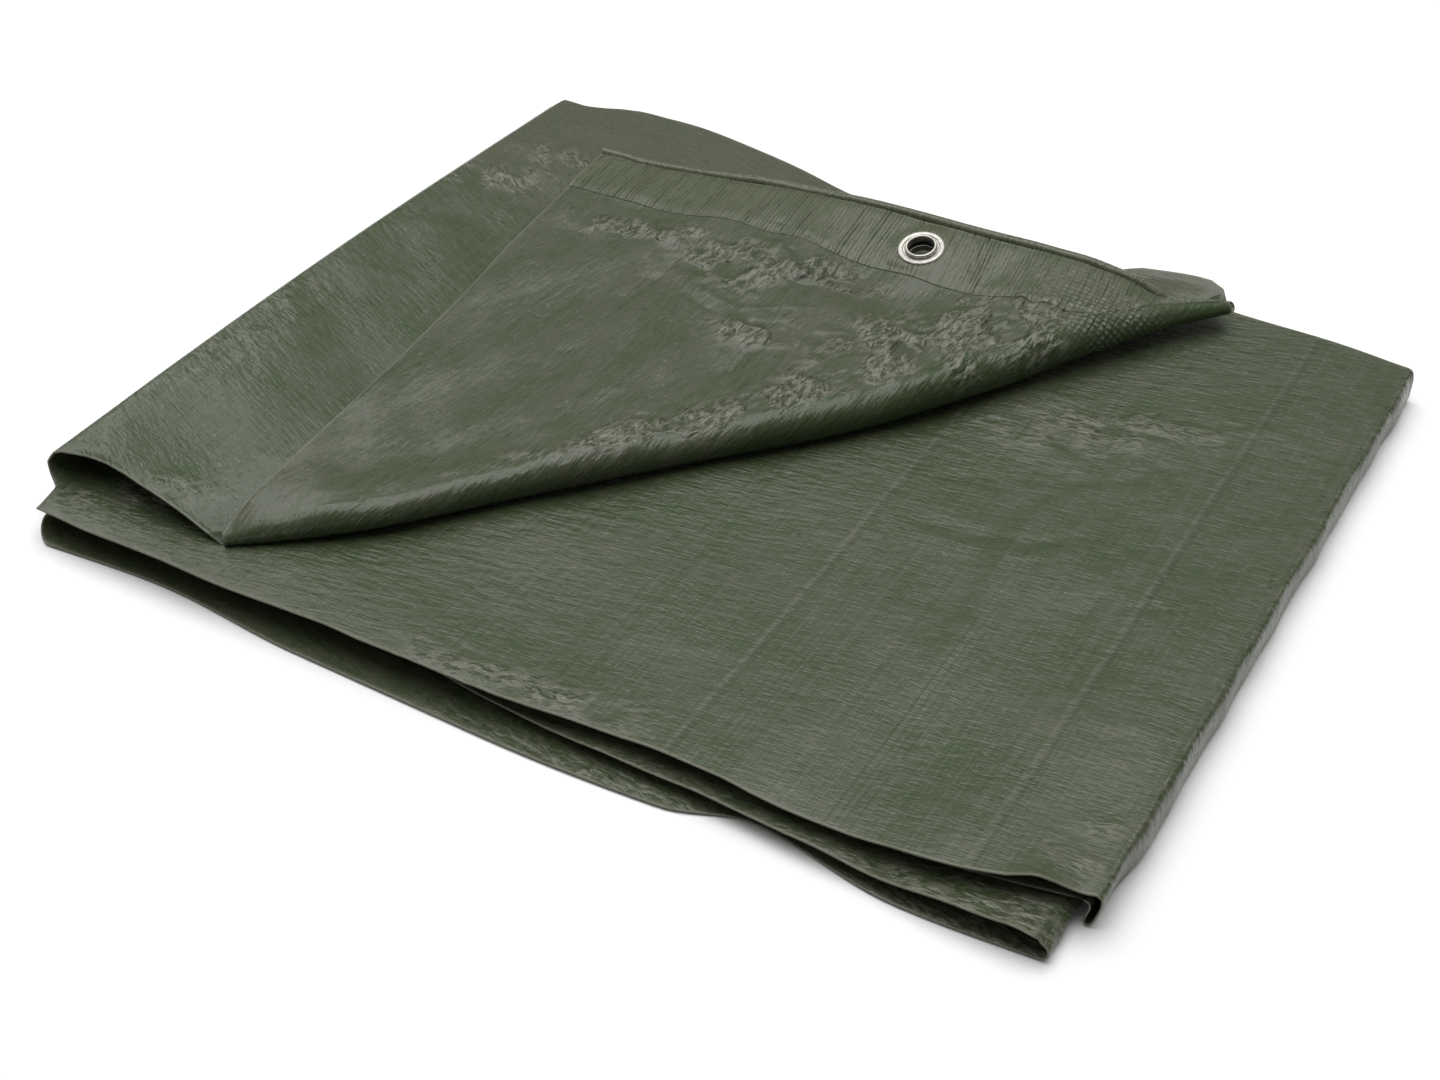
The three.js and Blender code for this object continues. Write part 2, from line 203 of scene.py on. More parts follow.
# Share along the leaf from which the flap's sheet overlaps it, and how far under the flap the leaf
# keeps its fine steps
OVERLAP_FROM = 0.985
LEAF_UNDER = 12

# Rounded rims of every sheet, in mm and degrees, and how far the painted highlight along them reaches
RIM_BULGE = 0.08
RIM_BULGE_REACH = 2.2
RIM_HIGHLIGHT_REACH = 0.6
RIM_ROUND = (50, 0, -50)

# Seeds of the random forms
SEED = {
    "inner rim": 3, "under rim": 7, "top rim": 9, "lower plies": 11, "right fold": 13,
    "top crumples": 21, "top facets": 23, "top waves": 25,
    "leaf crumples": 31, "leaf facets": 33, "leaf waves": 35, "leaf front": 71,
    "flap crumples": 41, "flap facets": 43, "flap waves": 45, "bead": 57,
    "wall dents": 61, "wall kinks": 63,
}

# Stage
FLOOR_REACH = 6.0
FLOOR_LEVEL = -0.0004
CAMERA_PLACE = (0.340889, -0.592116, 0.508491)
CAMERA_TURN = (math.radians(51), 0, math.radians(31))
CAMERA_LENS = 50
CAMERA_SENSOR = 36


# Settings

class TarpSheetSettings(bpy.types.PropertyGroup):
    thickness: FloatProperty(
        name="Thickness", description="Thickness of the laminated sheet as it lies in its folds",
        default=0.0007, min=0.0003, max=0.002, unit="LENGTH")
    weave_pitch: FloatProperty(
        name="Weave Pitch", description="Distance from one woven tape to the next",
        default=0.0029, min=0.001, max=0.005, unit="LENGTH")
    ripple: FloatProperty(
        name="Ripple", description="Depth of the fine grain all over the sheet",
        default=0.0005, min=0, max=0.002, unit="LENGTH")
    crinkle: FloatProperty(
        name="Crinkle", description="Depth of the sharp crinkles where the sheet is crumpled",
        default=0.0014, min=0, max=0.004, unit="LENGTH")
    colour: FloatVectorProperty(
        name="Sheet Colour", description="Green of the sheet",
        default=(0.038, 0.059, 0.021), size=3, min=0, max=1, subtype="COLOR")
    # Greyer end of the film's random mottles, towards which the tone mark also paints light on the flap, hem
    # and leaf
    grey_and_lit_colour: FloatVectorProperty(
        name="Grey and Lit Colour", description="Greyer colour of the film's mottles, also the lit end of its painted light",
        default=(0.064, 0.074, 0.042), size=3, min=0, max=1, subtype="COLOR")
    # Painted highlight: the pale colour blended in along the rims of every sheet
    edge_highlight_colour: FloatVectorProperty(
        name="Edge Highlight Colour", description="Colour of the painted highlight along the bare edges and sharp folds",
        default=(0.19, 0.182, 0.148), size=3, min=0, max=1, subtype="COLOR")


class TarpHemSettings(bpy.types.PropertyGroup):
    width: FloatProperty(
        name="Width", description="Width of the folded hem along the free edge",
        default=0.040, min=0.02, max=0.08, unit="LENGTH")
    bead: FloatProperty(
        name="Bead Radius", description="Radius of the cord held in the hem's outer fold",
        default=0.0021, min=0.0005, max=0.004, unit="LENGTH")
    rib_pitch: FloatProperty(
        name="Rib Pitch", description="Distance between the grooves across the hem",
        default=0.0038, min=0.001, max=0.01, unit="LENGTH")
    rib_depth: FloatProperty(
        name="Rib Depth", description="Depth of the grooves across the hem",
        default=0.0004, min=0, max=0.002, unit="LENGTH")


class TarpEyeletSettings(bpy.types.PropertyGroup):
    bore: FloatProperty(
        name="Bore Radius", description="Radius of the hole through the eyelet",
        default=0.006, min=0.002, max=0.01, unit="LENGTH")
    flange: FloatProperty(
        name="Flange Radius", description="Outer radius of the eyelet's flange and washer",
        default=0.011, min=0.005, max=0.02, unit="LENGTH")
    lip: FloatProperty(
        name="Lip Radius", description="Outer radius of the rolled lip",
        default=0.0075, min=0.004, max=0.015, unit="LENGTH")
    segments: IntProperty(
        name="Segments", description="Steps round each ring",
        default=72, min=12, max=128)
    colour: FloatVectorProperty(
        name="Metal Colour", description="Colour of the bare aluminium",
        default=(0.5, 0.49, 0.45), size=3, min=0, max=1, subtype="COLOR")


class TarpStageSettings(bpy.types.PropertyGroup):
    floor_colour: FloatVectorProperty(
        name="Floor Colour", description="Colour of the plain floor",
        default=(0.9, 0.9, 0.9), size=3, min=0, max=1, subtype="COLOR")
    box_power: FloatProperty(
        name="Softbox Power", description="Power of the wide softbox above and behind, in watts",
        default=36, min=0, max=200)
    key_power: FloatProperty(
        name="Key Power", description="Power of the smaller light at the left, in watts",
        default=2.4, min=0, max=100)
    sky: FloatProperty(
        name="Surround", description="Brightness of the white surround",
        default=0.42, min=0, max=5)


# Numbers and curves

def lerp(start, end, share):
    return start + (end - start) * share


def smooth(start, end, value):
    share = np.clip((value - start) / (end - start), 0, 1)
    return share * share * (3 - 2 * share)


def curve(places, values, at):
    """Smooth curve through values that never swings past them; values may have further axes."""
    x = np.asarray(places, float)
    y = np.asarray(values, float)
    at = np.clip(np.asarray(at, float), x[0], x[-1])
    step = np.diff(x).reshape((-1,) + (1,) * (y.ndim - 1))
    slope = np.diff(y, axis=0) / step
    grade = np.zeros_like(y)
    before, after = slope[:-1], slope[1:]
    same = before * after > 0
    heavy, light = 2 * step[1:] + step[:-1], step[1:] + 2 * step[:-1]
    safe_before = np.where(same, before, 1)
    safe_after = np.where(same, after, 1)
    mean = (heavy + light) / (heavy / safe_before + light / safe_after)
    grade[1:-1] = np.where(same, mean, 0)
    grade[0], grade[-1] = slope[0], slope[-1]
    index = np.clip(np.searchsorted(x, at) - 1, 0, len(x) - 2)
    extra = (...,) + (None,) * (y.ndim - 1)
    width = (x[index + 1] - x[index])[extra]
    share = ((at - x[index]) / (x[index + 1] - x[index]))[extra]
    rest = 1 - share
    return (
        y[index] * (1 + 2 * share) * rest ** 2
        + y[index + 1] * share ** 2 * (3 - 2 * share)
        + width * (grade[index] * share * rest ** 2 - grade[index + 1] * share ** 2 * rest)
    )


def table(rows, key, value, at):
    return curve([getattr(row, key) for row in rows], [getattr(row, value) for row in rows], at)


def join(x, y, z):
    return np.stack(np.broadcast_arrays(x, y, z), -1).astype(float)


def unit(vectors):
    size = np.linalg.norm(vectors, axis=-1, keepdims=True)
    return vectors / np.maximum(size, 1e-9)


def spread_rows(count, length=390.0, near=(0.6, 1.4, 2.8)):
    """Shares from 0 to 1, even but for a few closer ones at both ends, near mm from them."""
    close = np.array(near) / length
    middle = np.linspace(close[-1], 1 - close[-1], count - 2 * len(near))
    return np.concatenate([[0], close[:-1], middle, 1 - close[-2::-1], [1]])


def waves(x, y, seed, lengths, direction, spread, count=20):
    """Random waves with lengths between two values, running about one direction."""
    random = np.random.default_rng(seed)
    total = np.zeros(np.broadcast(x, y).shape)
    for _ in range(count):
        length = random.uniform(*lengths)
        angle = direction + random.uniform(-spread, spread)
        phase = random.uniform(0, 2 * math.pi)
        turn = 2 * math.pi / length
        total += np.sin(turn * (x * math.cos(angle) + y * math.sin(angle)) + phase)
    return total / math.sqrt(count / 2)


def facets(x, y, seed, lengths, direction, spread, count=5):
    """Flat facets with sharp ridges between them, as in crumpled film, about 1 high."""
    random = np.random.default_rng(seed)
    bend_x = x + 3.5 * waves(x, y, seed + 1, (30, 70), 0, math.pi, 6)
    bend_y = y + 3.5 * waves(x, y, seed + 2, (30, 70), 0, math.pi, 6)
    total = np.zeros(np.broadcast(x, y).shape)
    for _ in range(count):
        length = random.uniform(*lengths)
        angle = direction + random.uniform(-spread, spread)
        place = (bend_x * math.cos(angle) + bend_y * math.sin(angle)) / length + random.uniform(0, 1)
        total += (4 * np.abs(place - np.floor(place + 0.5)) - 1) * length / lengths[1]
    return total / math.sqrt(count)


def kinks(at, seed, pitch):
    """Random broken line between -1 and 1 with a corner about once each pitch."""
    random = np.random.default_rng(seed)
    corners = np.arange(-100, 600, pitch)
    corners = corners + random.uniform(-0.35, 0.35, len(corners)) * pitch
    return np.interp(at, corners, random.uniform(-1, 1, len(corners)))


def along_knots(knots, first, count, angular):
    """Even steps along a chain of rows, from the first knot on, cornered where angular is 1."""
    places = np.concatenate([[0], np.cumsum(
        np.linalg.norm(np.diff(knots, axis=0), axis=-1).mean(axis=1))])
    at = np.linspace(places[first], places[-1], count)
    flat = knots.reshape(len(knots), -1)
    index = np.clip(np.searchsorted(places, at) - 1, 0, len(places) - 2)
    share = ((at - places[index]) / (places[index + 1] - places[index]))[:, None]
    straight = lerp(flat[index], flat[index + 1], share).reshape(count, *knots.shape[1:])
    return lerp(curve(places, flat, at).reshape(straight.shape), straight, angular[..., None])


# Creases

def line_distance(x, y, line):
    """Distance to a line of points, and how far along it the nearest place is, from 0 to 1."""
    points = np.array(line, float)
    sizes = np.linalg.norm(np.diff(points, axis=0), axis=1)
    whole = sizes.sum()
    best = np.full(x.shape, 1e9)
    place = np.zeros(x.shape)
    done = 0.0
    for start, end, size in zip(points[:-1], points[1:], sizes):
        along = ((x - start[0]) * (end[0] - start[0]) + (y - start[1]) * (end[1] - start[1])) / size ** 2
        along = np.clip(along, 0, 1)
        away = np.hypot(x - lerp(start[0], end[0], along), y - lerp(start[1], end[1], along))
        nearer = away < best
        best = np.where(nearer, away, best)
        place = np.where(nearer, (done + along * size) / whole, place)
        done += size
    return best, place


def creases(x, y, rows):
    """Sharp-topped ridges, or troughs where the height is below zero, fading towards their ends."""
    total = np.zeros(x.shape)
    for crease in rows:
        away, place = line_distance(x, y, crease.line)
        ends = smooth(0, 0.25, place) * (1 - smooth(0.75, 1, place))
        total += 1.2 * crease.height * ends * np.exp(-1.4 * np.sqrt((away / crease.width) ** 2 + 0.02))
    return total


def spot_mask(x, y, spot):
    turn_x, turn_y = math.cos(spot.angle), math.sin(spot.angle)
    along = (x - spot.x) * turn_x + (y - spot.y) * turn_y
    across = -(x - spot.x) * turn_y + (y - spot.y) * turn_x
    return np.exp(-((along / spot.along) ** 2 + (across / spot.across) ** 2))


def crumple(x, y, spots, seed):
    """Facets and short creases in each spot, broken up by slow waves, and a mask of the spots."""
    random = np.random.default_rng(seed)
    total = np.zeros(x.shape)
    mask = np.zeros(x.shape)
    broken = smooth(-1.1, 0.6, waves(x, y, seed + 5, (12, 40), 0, math.pi, 24))
    for number, spot in enumerate(spots):
        turn_x, turn_y = math.cos(spot.angle), math.sin(spot.angle)
        for _ in range(spot.count):
            along, across = random.normal(0, 0.55, 2)
            mid_x = spot.x + along * spot.along * turn_x - across * spot.across * turn_y
            mid_y = spot.y + along * spot.along * turn_y + across * spot.across * turn_x
            angle = spot.angle + random.normal(0, 0.7)
            half = spot.length * random.uniform(0.3, 0.8)
            width = spot.width * random.uniform(0.6, 1.5)
            height = spot.height * random.uniform(0.3, 1) * random.choice([-1, 1])
            step_x, step_y = half * math.cos(angle), half * math.sin(angle)
            near = (abs(x - mid_x) < half + 3 * width) & (abs(y - mid_y) < half + 3 * width)
            line = [(mid_x - step_x, mid_y - step_y), (mid_x + step_x, mid_y + step_y)]
            total[near] += creases(x[near], y[near], [Crease(width, height, line)])
        own = spot_mask(x, y, spot) * broken
        lengths = (0.8 * spot.length, 2.2 * spot.length)
        total += spot.height * own * facets(x, y, seed + 7 * number, lengths, spot.angle + math.pi / 2, 1.0)
        mask = np.maximum(mask, own)
    return total, mask


TOP_CREASES = rows_of(Crease, [
    (3.4, -0.75, [(296, 174), (303, 174), (326, 177), (351, 182), (362, 190), (375, 202)]),
    (5.0, 0.35, [(303, 168), (328, 170), (353, 175), (370, 187)]),
    (9.0, 0.8, [(380, 262), (358, 233), (346, 205), (346, 174), (353, 135), (352, 100), (350, 72)]),
    (7.0, -0.6, [(366, 250), (352, 228), (338, 200), (337, 172), (344, 135), (343, 100)]),
    (4.0, -0.8, [(316, 262), (330, 254), (353, 249), (367, 266)]),
    (4.0, 0.5, [(322, 248), (340, 243), (356, 241)]),
    (3.2, -0.75, [(338, 229), (352, 231), (370, 240), (377, 256), (394, 262)]),
    (3.6, -0.5, [(360, 262), (378, 258), (392, 247)]),
    (3.4, -0.45, [(384, 147), (386, 158), (392, 170)]),
    (2.8, -0.4, [(392, 161), (402, 168), (416, 170)]),
    (3.0, 0.35, [(402, 104), (418, 103), (432, 107), (446, 107)]),
    (2.6, 0.4, [(151, 63), (165, 59), (196, 52), (232, 44)]),
    (4.0, -0.35, [(88, 18), (104, 14), (122, 14)]),
    (3.0, 0.4, [(92, 26), (108, 24), (128, 28)]),
    (5.0, -0.5, [(300, 205), (316, 214), (336, 212)]),
    (5.0, -0.45, [(268, 176), (284, 188), (305, 190)]),
    (6.0, 0.4, [(196, 118), (220, 130), (246, 134)]),
    (3.0, 0.18, [(248, -20), (248, 400)]),
    (3.0, -0.18, [(333, -20), (333, 400)]),
    (3.0, 0.16, [(366, -20), (366, 400)]),
    (3.0, 0.16, [(212, -20), (212, 400)]),
])
TOP_SPOTS = rows_of(Spot, [
    (228, 14, 8, 50, 0.12, 40, 9, 1.7, 0.4),
    (345, 268, 15, 48, 0.45, 26, 24, 3.6, 0.55),
    (30, 22, 14, 30, 0.2, 20, 12, 2.4, 0.35),
    (436, 48, 9, 16, 1.0, 14, 10, 2.0, 0.3),
])
LEAF_CREASES = rows_of(Crease, [
    (3.5, 0.9, [(27, 321), (34, 326), (44, 324), (54, 319)]),
    (3.0, -0.7, [(30, 329), (42, 331), (54, 327)]),
    (3.0, 0.5, [(38, 314), (50, 312), (58, 307)]),
    (6.0, 0.9, [(-2, 296), (16, 303), (36, 304), (56, 296)]),
    (6.0, -0.7, [(0, 284), (18, 290), (40, 291), (58, 282)]),
    (7.0, 0.8, [(-2, 252), (16, 262), (38, 268), (60, 264)]),
    (7.0, -0.7, [(0, 240), (18, 248), (40, 252), (62, 248)]),
    (6.0, 0.6, [(-2, 222), (16, 232), (40, 240)]),
    (7.0, 0.6, [(-2, 180), (18, 190), (44, 196)]),
    (8.0, -0.5, [(0, 160), (20, 170), (48, 176)]),
    (7.0, 0.7, [(6, 345), (30, 356), (60, 362), (92, 366)]),
    (7.0, -0.6, [(14, 338), (36, 345), (50, 346)]),
    (5.0, -1.0, [(88, 24), (80, 44), (74, 66)]),
    (6.0, 0.9, [(94, 34), (88, 60), (84, 90)]),
    (5.0, 0.5, [(30, 24), (48, 30), (62, 40)]),
    (8.0, -1.6, [(82, 20), (84, 44), (84, 90), (78, 150)]),
    (3.0, -2.4, [(296, 376), (322, 379), (348, 380), (368, 376)]),
    (3.0, 1.8, [(306, 385), (332, 386), (352, 384), (362, 381)]),
    (2.4, 1.2, [(80, 20), (74, 34), (62, 50)]),
])
LEAF_SPOTS = rows_of(Spot, [
    (50, 27, 8, 22, 0.3, 12, 10, 2.0, 0.22),
    (40, 322, 10, 22, 0.1, 18, 10, 2.0, 0.6),
    (22, 290, 14, 26, 0.3, 14, 12, 2.2, 0.4),
    (2, 120, 20, 60, 1.5, 22, 14, 2.4, 0.35),
])
FLAP_CREASES = rows_of(Crease, [
    (2.4, -1.1, [(137, 286), (134, 268), (132, 250), (131, 235), (133, 218)]),
    (5.0, 0.6, [(127, 276), (126, 250), (126, 228)]),
    (2.2, -0.8, [(199, 236), (200, 220), (201, 200)]),
    (3.4, 1.0, [(160, 306), (170, 303), (183, 293), (190, 286), (197, 288), (205, 293)]),
    (3.2, -0.8, [(164, 298), (176, 292), (184, 283), (194, 281), (206, 286)]),
    (3.0, 0.7, [(240, 274), (248, 260), (256, 248), (264, 236)]),
    (3.0, 0.8, [(270, 298), (265, 286), (262, 272)]),
    (2.6, 0.6, [(92, 277), (98, 280), (107, 281)]),
    (2.6, 0.6, [(104, 293), (120, 287), (136, 280)]),
    (3.0, 0.35, [(140, 262), (160, 252), (180, 250), (204, 262), (220, 272)]),
    (3.0, -0.35, [(146, 250), (166, 243), (188, 242)]),
    (3.0, 0.8, [(176, 246), (190, 238), (205, 232)]),
    (3.0, -0.8, [(266, 268), (264, 250), (270, 236)]),
    (2.4, 0.8, [(250, 262), (262, 262), (276, 270), (292, 280)]),
    (2.4, -0.9, [(278, 268), (276, 254), (281, 244)]),
    (5.0, 0.5, [(170, 228), (176, 190), (184, 150)]),
    (6.0, -0.5, [(150, 214), (156, 176), (160, 128)]),
    (6.0, 0.5, [(124, 200), (132, 156), (134, 110)]),
    (7.0, -0.5, [(102, 250), (110, 190), (116, 120)]),
    (5.0, 0.4, [(220, 250), (228, 222), (236, 204)]),
])
FLAP_SPOTS = rows_of(Spot, [
    (160, 282, 18, 30, 0.2, 44, 10, 2.0, 0.55),
    (198, 296, 10, 22, 0.1, 18, 9, 2.0, 0.6),
    (262, 262, 26, 36, 0.8, 70, 13, 2.2, 0.75),
    (292, 296, 22, 28, 0.9, 50, 11, 2.0, 0.7),
    (196, 238, 9, 18, 0.3, 20, 9, 1.9, 0.55),
    (322, 326, 8, 16, 0.9, 20, 9, 1.8, 0.45),
    (214, 176, 8, 74, 0.89, 54, 9, 2.0, 0.55),
    (238, 214, 10, 40, 0.9, 30, 10, 2.0, 0.6),
    (110, 286, 8, 30, 0.3, 16, 9, 2.0, 0.4),
])
# Places where the tapes of the weave print through the film, shown there by bumps, painted glints on the
# tapes and painted shade in the gaps between them
HEM_SPOT = Spot(330, 320, 19, 34, -0.25, 0, 0, 0, 0)
TUNNEL_SPOT = Spot(46, 34, 20, 46, 0.2, 0, 0, 0, 0)


# Folded section

def ply_points(ply, share, row):
    right = ply.right - ply.near_right * (1 - smooth(*NEAR_ROWS, row))
    x = lerp(ply.left, right, share)
    y = lerp(curve(EDGE_AT, ply.front, x), curve(EDGE_AT, ply.back, x), row)
    level = (ply.z - BOTTOM.z) / (TOP.z - BOTTOM.z)
    swell = 0.5 * np.sin(x / 61 + 0.6) * np.sin(y / 74 + 1.1)
    lift = TOP_LIFT[2] * smooth(TOP_LIFT[0], TOP_LIFT[1], x)
    return join(x, y, ply.z + level * (swell + lift))


def edge_wave(points, ply, seed, height, rim=(0,) * 9, reach=26):
    """Rise and fall of a ply's front edge in short straight stretches, fading into the ply."""
    x, y = points[..., 0], points[..., 1]
    wave = 0.6 * kinks(x, seed, 34) + 0.4 * waves(x, 0 * x, seed, (34, 130), 0, 0.01, 9)
    inward = np.maximum(y - curve(EDGE_AT, ply.front, x), 0)
    near = np.exp(-inward / reach)
    points[..., 2] += height * wave * near + np.interp(x, RIM_AT, rim) * np.exp(-inward / 9)
    points[..., 1] += 1.1 * kinks(x, seed + 1, 27) * near
    return points


def fold_points(low, high, side, angle, row):
    start = ply_points(low, (side + 1) / 2, row)
    end = ply_points(high, (side + 1) / 2, row)
    radius = (end[..., 2] - start[..., 2]) / 2
    turn = (1 + np.sin(angle)) / 2
    return join(
        lerp(start[..., 0], end[..., 0], turn) + side * radius * np.cos(angle),
        lerp(start[..., 1], end[..., 1], turn),
        (start[..., 2] + end[..., 2]) / 2 + radius * np.sin(angle),
    )


def wall_points(at, row):
    """Right side of the upper plies, from under them to the floor and up to the top ply."""
    low = ply_points(UNDER, np.ones(1), row)
    high = ply_points(TOP, np.ones(1), row)
    x = table(WALL, "at", "x", at)
    z = table(WALL, "at", "z", at)
    y = lerp(WALL_FRONT[0], lerp(low[..., 1], high[..., 1], at), smooth(0, 0.05, row))
    tuck = WALL_TUCK * (1 - z / WALL[-1].z) * (1 - smooth(*WALL_FRONT, y))
    outer = smooth(0.5, 0.62, at) * (1 - smooth(0.9, 1, at))
    dents = 0.35 * waves(y, z * 1.6, SEED["wall dents"], (24, 90), 0.2, 0.5, 12)
    dents = dents + 0.3 * kinks(y + 0.8 * z, SEED["wall kinks"], 30)
    level = (low[..., 2] - WALL[0].z) * (1 - smooth(0, 0.3, at))
    level = level + (high[..., 2] - WALL[-1].z) * smooth(0.7, 1, at)
    return join(x - tuck + dents * outer, y, z + level)


def roll_axis(row):
    return table(ROLL, "at", "x", row), table(ROLL, "at", "y", row), table(ROLL, "at", "radius", row)


def roll_foot(row):
    return table(ROLL, "at", "foot", row)


def roll_points(row, angle):
    x, y, radius = roll_axis(row)
    out = radius * np.cos(angle)
    z = roll_foot(row) + radius * (1 + np.sin(angle))
    return join(x + ROLL_OUT[0] * out, y + ROLL_OUT[1] * out, z)


def spine_points(station, row):
    start, end = (np.array(side, float) for side in station)
    bow_z = SPINE_BOW_Z * np.sin(math.pi * row) * smooth(14, 30, station.front[2])
    return join(
        lerp(start[0], end[0], row) - SPINE_BOW_X * np.sin(math.pi * row),
        lerp(start[1], end[1], row),
        lerp(start[2], end[2], row) + bow_z,
    )


def leaf_points(along, row):
    crown = SPINE[-1]
    start_x = lerp(crown.front[0], crown.back[0], row) - SPINE_BOW_X * np.sin(math.pi * row)
    axis_x, axis_y, _ = roll_axis(row)
    plain = lerp(crown.front[1], crown.back[1], row) * (1 - along) + axis_y * along
    front_y = table(LEAF, "along", "front_y", along)
    back_y = table(LEAF, "along", "back_y", along)
    front = (front_y - lerp(crown.front[1], ROLL[0].y, along)) * (1 - smooth(0, 0.3, row))
    back = (back_y - lerp(crown.back[1], ROLL[-1].y, along)) * smooth(0.7, 1, row)
    bow = SPINE_BOW_Z * np.sin(math.pi * row) * (1 - smooth(0, 0.5, along))
    z = lerp(table(LEAF, "along", "front_z", along), table(LEAF, "along", "back_z", along), row) + bow
    foot = roll_foot(row)
    z = lerp(z + (foot - ROLL[0].foot) * smooth(0.75, 1, along), foot, smooth(0.93, 1, along))
    curl = smooth(0.78, 0.87, along) * (1 - smooth(0.975, 1, along)) * smooth(0.94, 1, row)
    return join(
        lerp(start_x, axis_x, along), plain + front + back + TIP_CURL[0] * curl, z + TIP_CURL[1] * curl)


def edge_points(row):
    return join(table(EDGE, "at", "x", row), table(EDGE, "at", "y", row), table(EDGE, "at", "z", row))


def flap_plain(row, share):
    start = roll_points(row, math.pi / 2)
    end = edge_points(row)
    quick = 1 - (1 - share) ** 8
    slow = np.maximum(0, share) ** 2.2
    middle = smooth(0, 0.16, row)
    late = smooth(0.8, 1, row)
    rise = lerp(lerp(quick, slow, middle), share, late)
    dip = -1.6 * np.sin(math.pi * share) * middle * (1 - late)
    back = lerp(start[..., 1], end[..., 1], share)
    bow = curve(FLAP_BOW_Y, FLAP_BOW_X, back) * (1 - smooth(0, FLAP_BOW_ROWS, row))
    return join(
        lerp(start[..., 0], end[..., 0], share) + bow,
        back,
        lerp(start[..., 2], end[..., 2], rise) + dip,
    )


def flap_length(row):
    return np.linalg.norm(edge_points(row) - roll_points(row, math.pi / 2), axis=-1)


def eyelet_spot():
    at = np.array(EYELET_AT)
    spot = flap_plain(at, 1 - EYELET_INSET / flap_length(at))
    edge = edge_points(at)
    spot[2] = edge[2] - 0.4 - TILT_Y * (edge[1] - spot[1])
    return spot


def leaf_cover():
    """Search tree over the leaf, to find its height under a place on the flap."""
    along, row = np.meshgrid(np.linspace(0.02, 1, 60), np.linspace(0, 1, 80), indexing="ij")
    points = leaf_points(along, row)
    count, width = along.shape
    faces = [
        (i * width + j, (i + 1) * width + j, (i + 1) * width + j + 1, i * width + j + 1)
        for i in range(count - 1) for j in range(width - 1)
    ]
    return BVHTree.FromPolygons([Vector(p) for p in points.reshape(-1, 3)], faces)


def heights_over(tree, points, fallback):
    flat = points.reshape(-1, 3)
    found = np.empty(len(flat))
    down = Vector((0, 0, -1))
    for index, point in enumerate(flat):
        hit = tree.ray_cast(Vector((point[0], point[1], 80)), down)[0]
        found[index] = fallback if hit is None else hit.z
    return found.reshape(points.shape[:-1])


EYELET_SPOT = eyelet_spot()
LEAF_TREE = leaf_cover()


def flap_points(row, share):
    """Flap as it lies: on the leaf at its left side, flat under the eyelet, free elsewhere."""
    points = flap_plain(row, share)
    away_x = points[..., 0] - EYELET_SPOT[0]
    away_y = points[..., 1] - EYELET_SPOT[1]
    plane = EYELET_SPOT[2] + TILT_X * away_x + TILT_Y * away_y
    weight = 1 - smooth(FLAT_INNER, FLAT_OUTER, np.hypot(away_x, away_y))
    z = lerp(points[..., 2], plane, weight)
    length = flap_length(row)
    inset = (1 - share) * length
    rest = lerp(REST_HEM, REST, smooth(37, 44, inset))
    ground = heights_over(LEAF_TREE, points, 0) + rest
    laid = flap_laid(row, share)
    z = lerp(z, np.maximum(ground, 14), laid)
    side = np.maximum(points[..., 0] - split_x(points[..., 1]), 0)
    points[..., 2] = np.maximum(z, ground) + SIDE_CURL * np.exp(-side / 4) * laid
    return points


def flap_laid(row, share):
    """Share by which a place on the flap lies on the leaf."""
    return (1 - smooth(0.02, 0.3, row)) * smooth(0.03, 0.14, share)


def split_x(y):
    """Place of the flap's left side."""
    return curve(FLAP_SIDE_Y, FLAP_SIDE_X, y)


def flap_inset(row, inset):
    return flap_points(row, 1 - inset / flap_length(row))


# Meshes

def grid_normals(grid):
    along = np.gradient(grid, axis=0)
    across = np.gradient(grid, axis=1)
    return unit(np.cross(along, across))


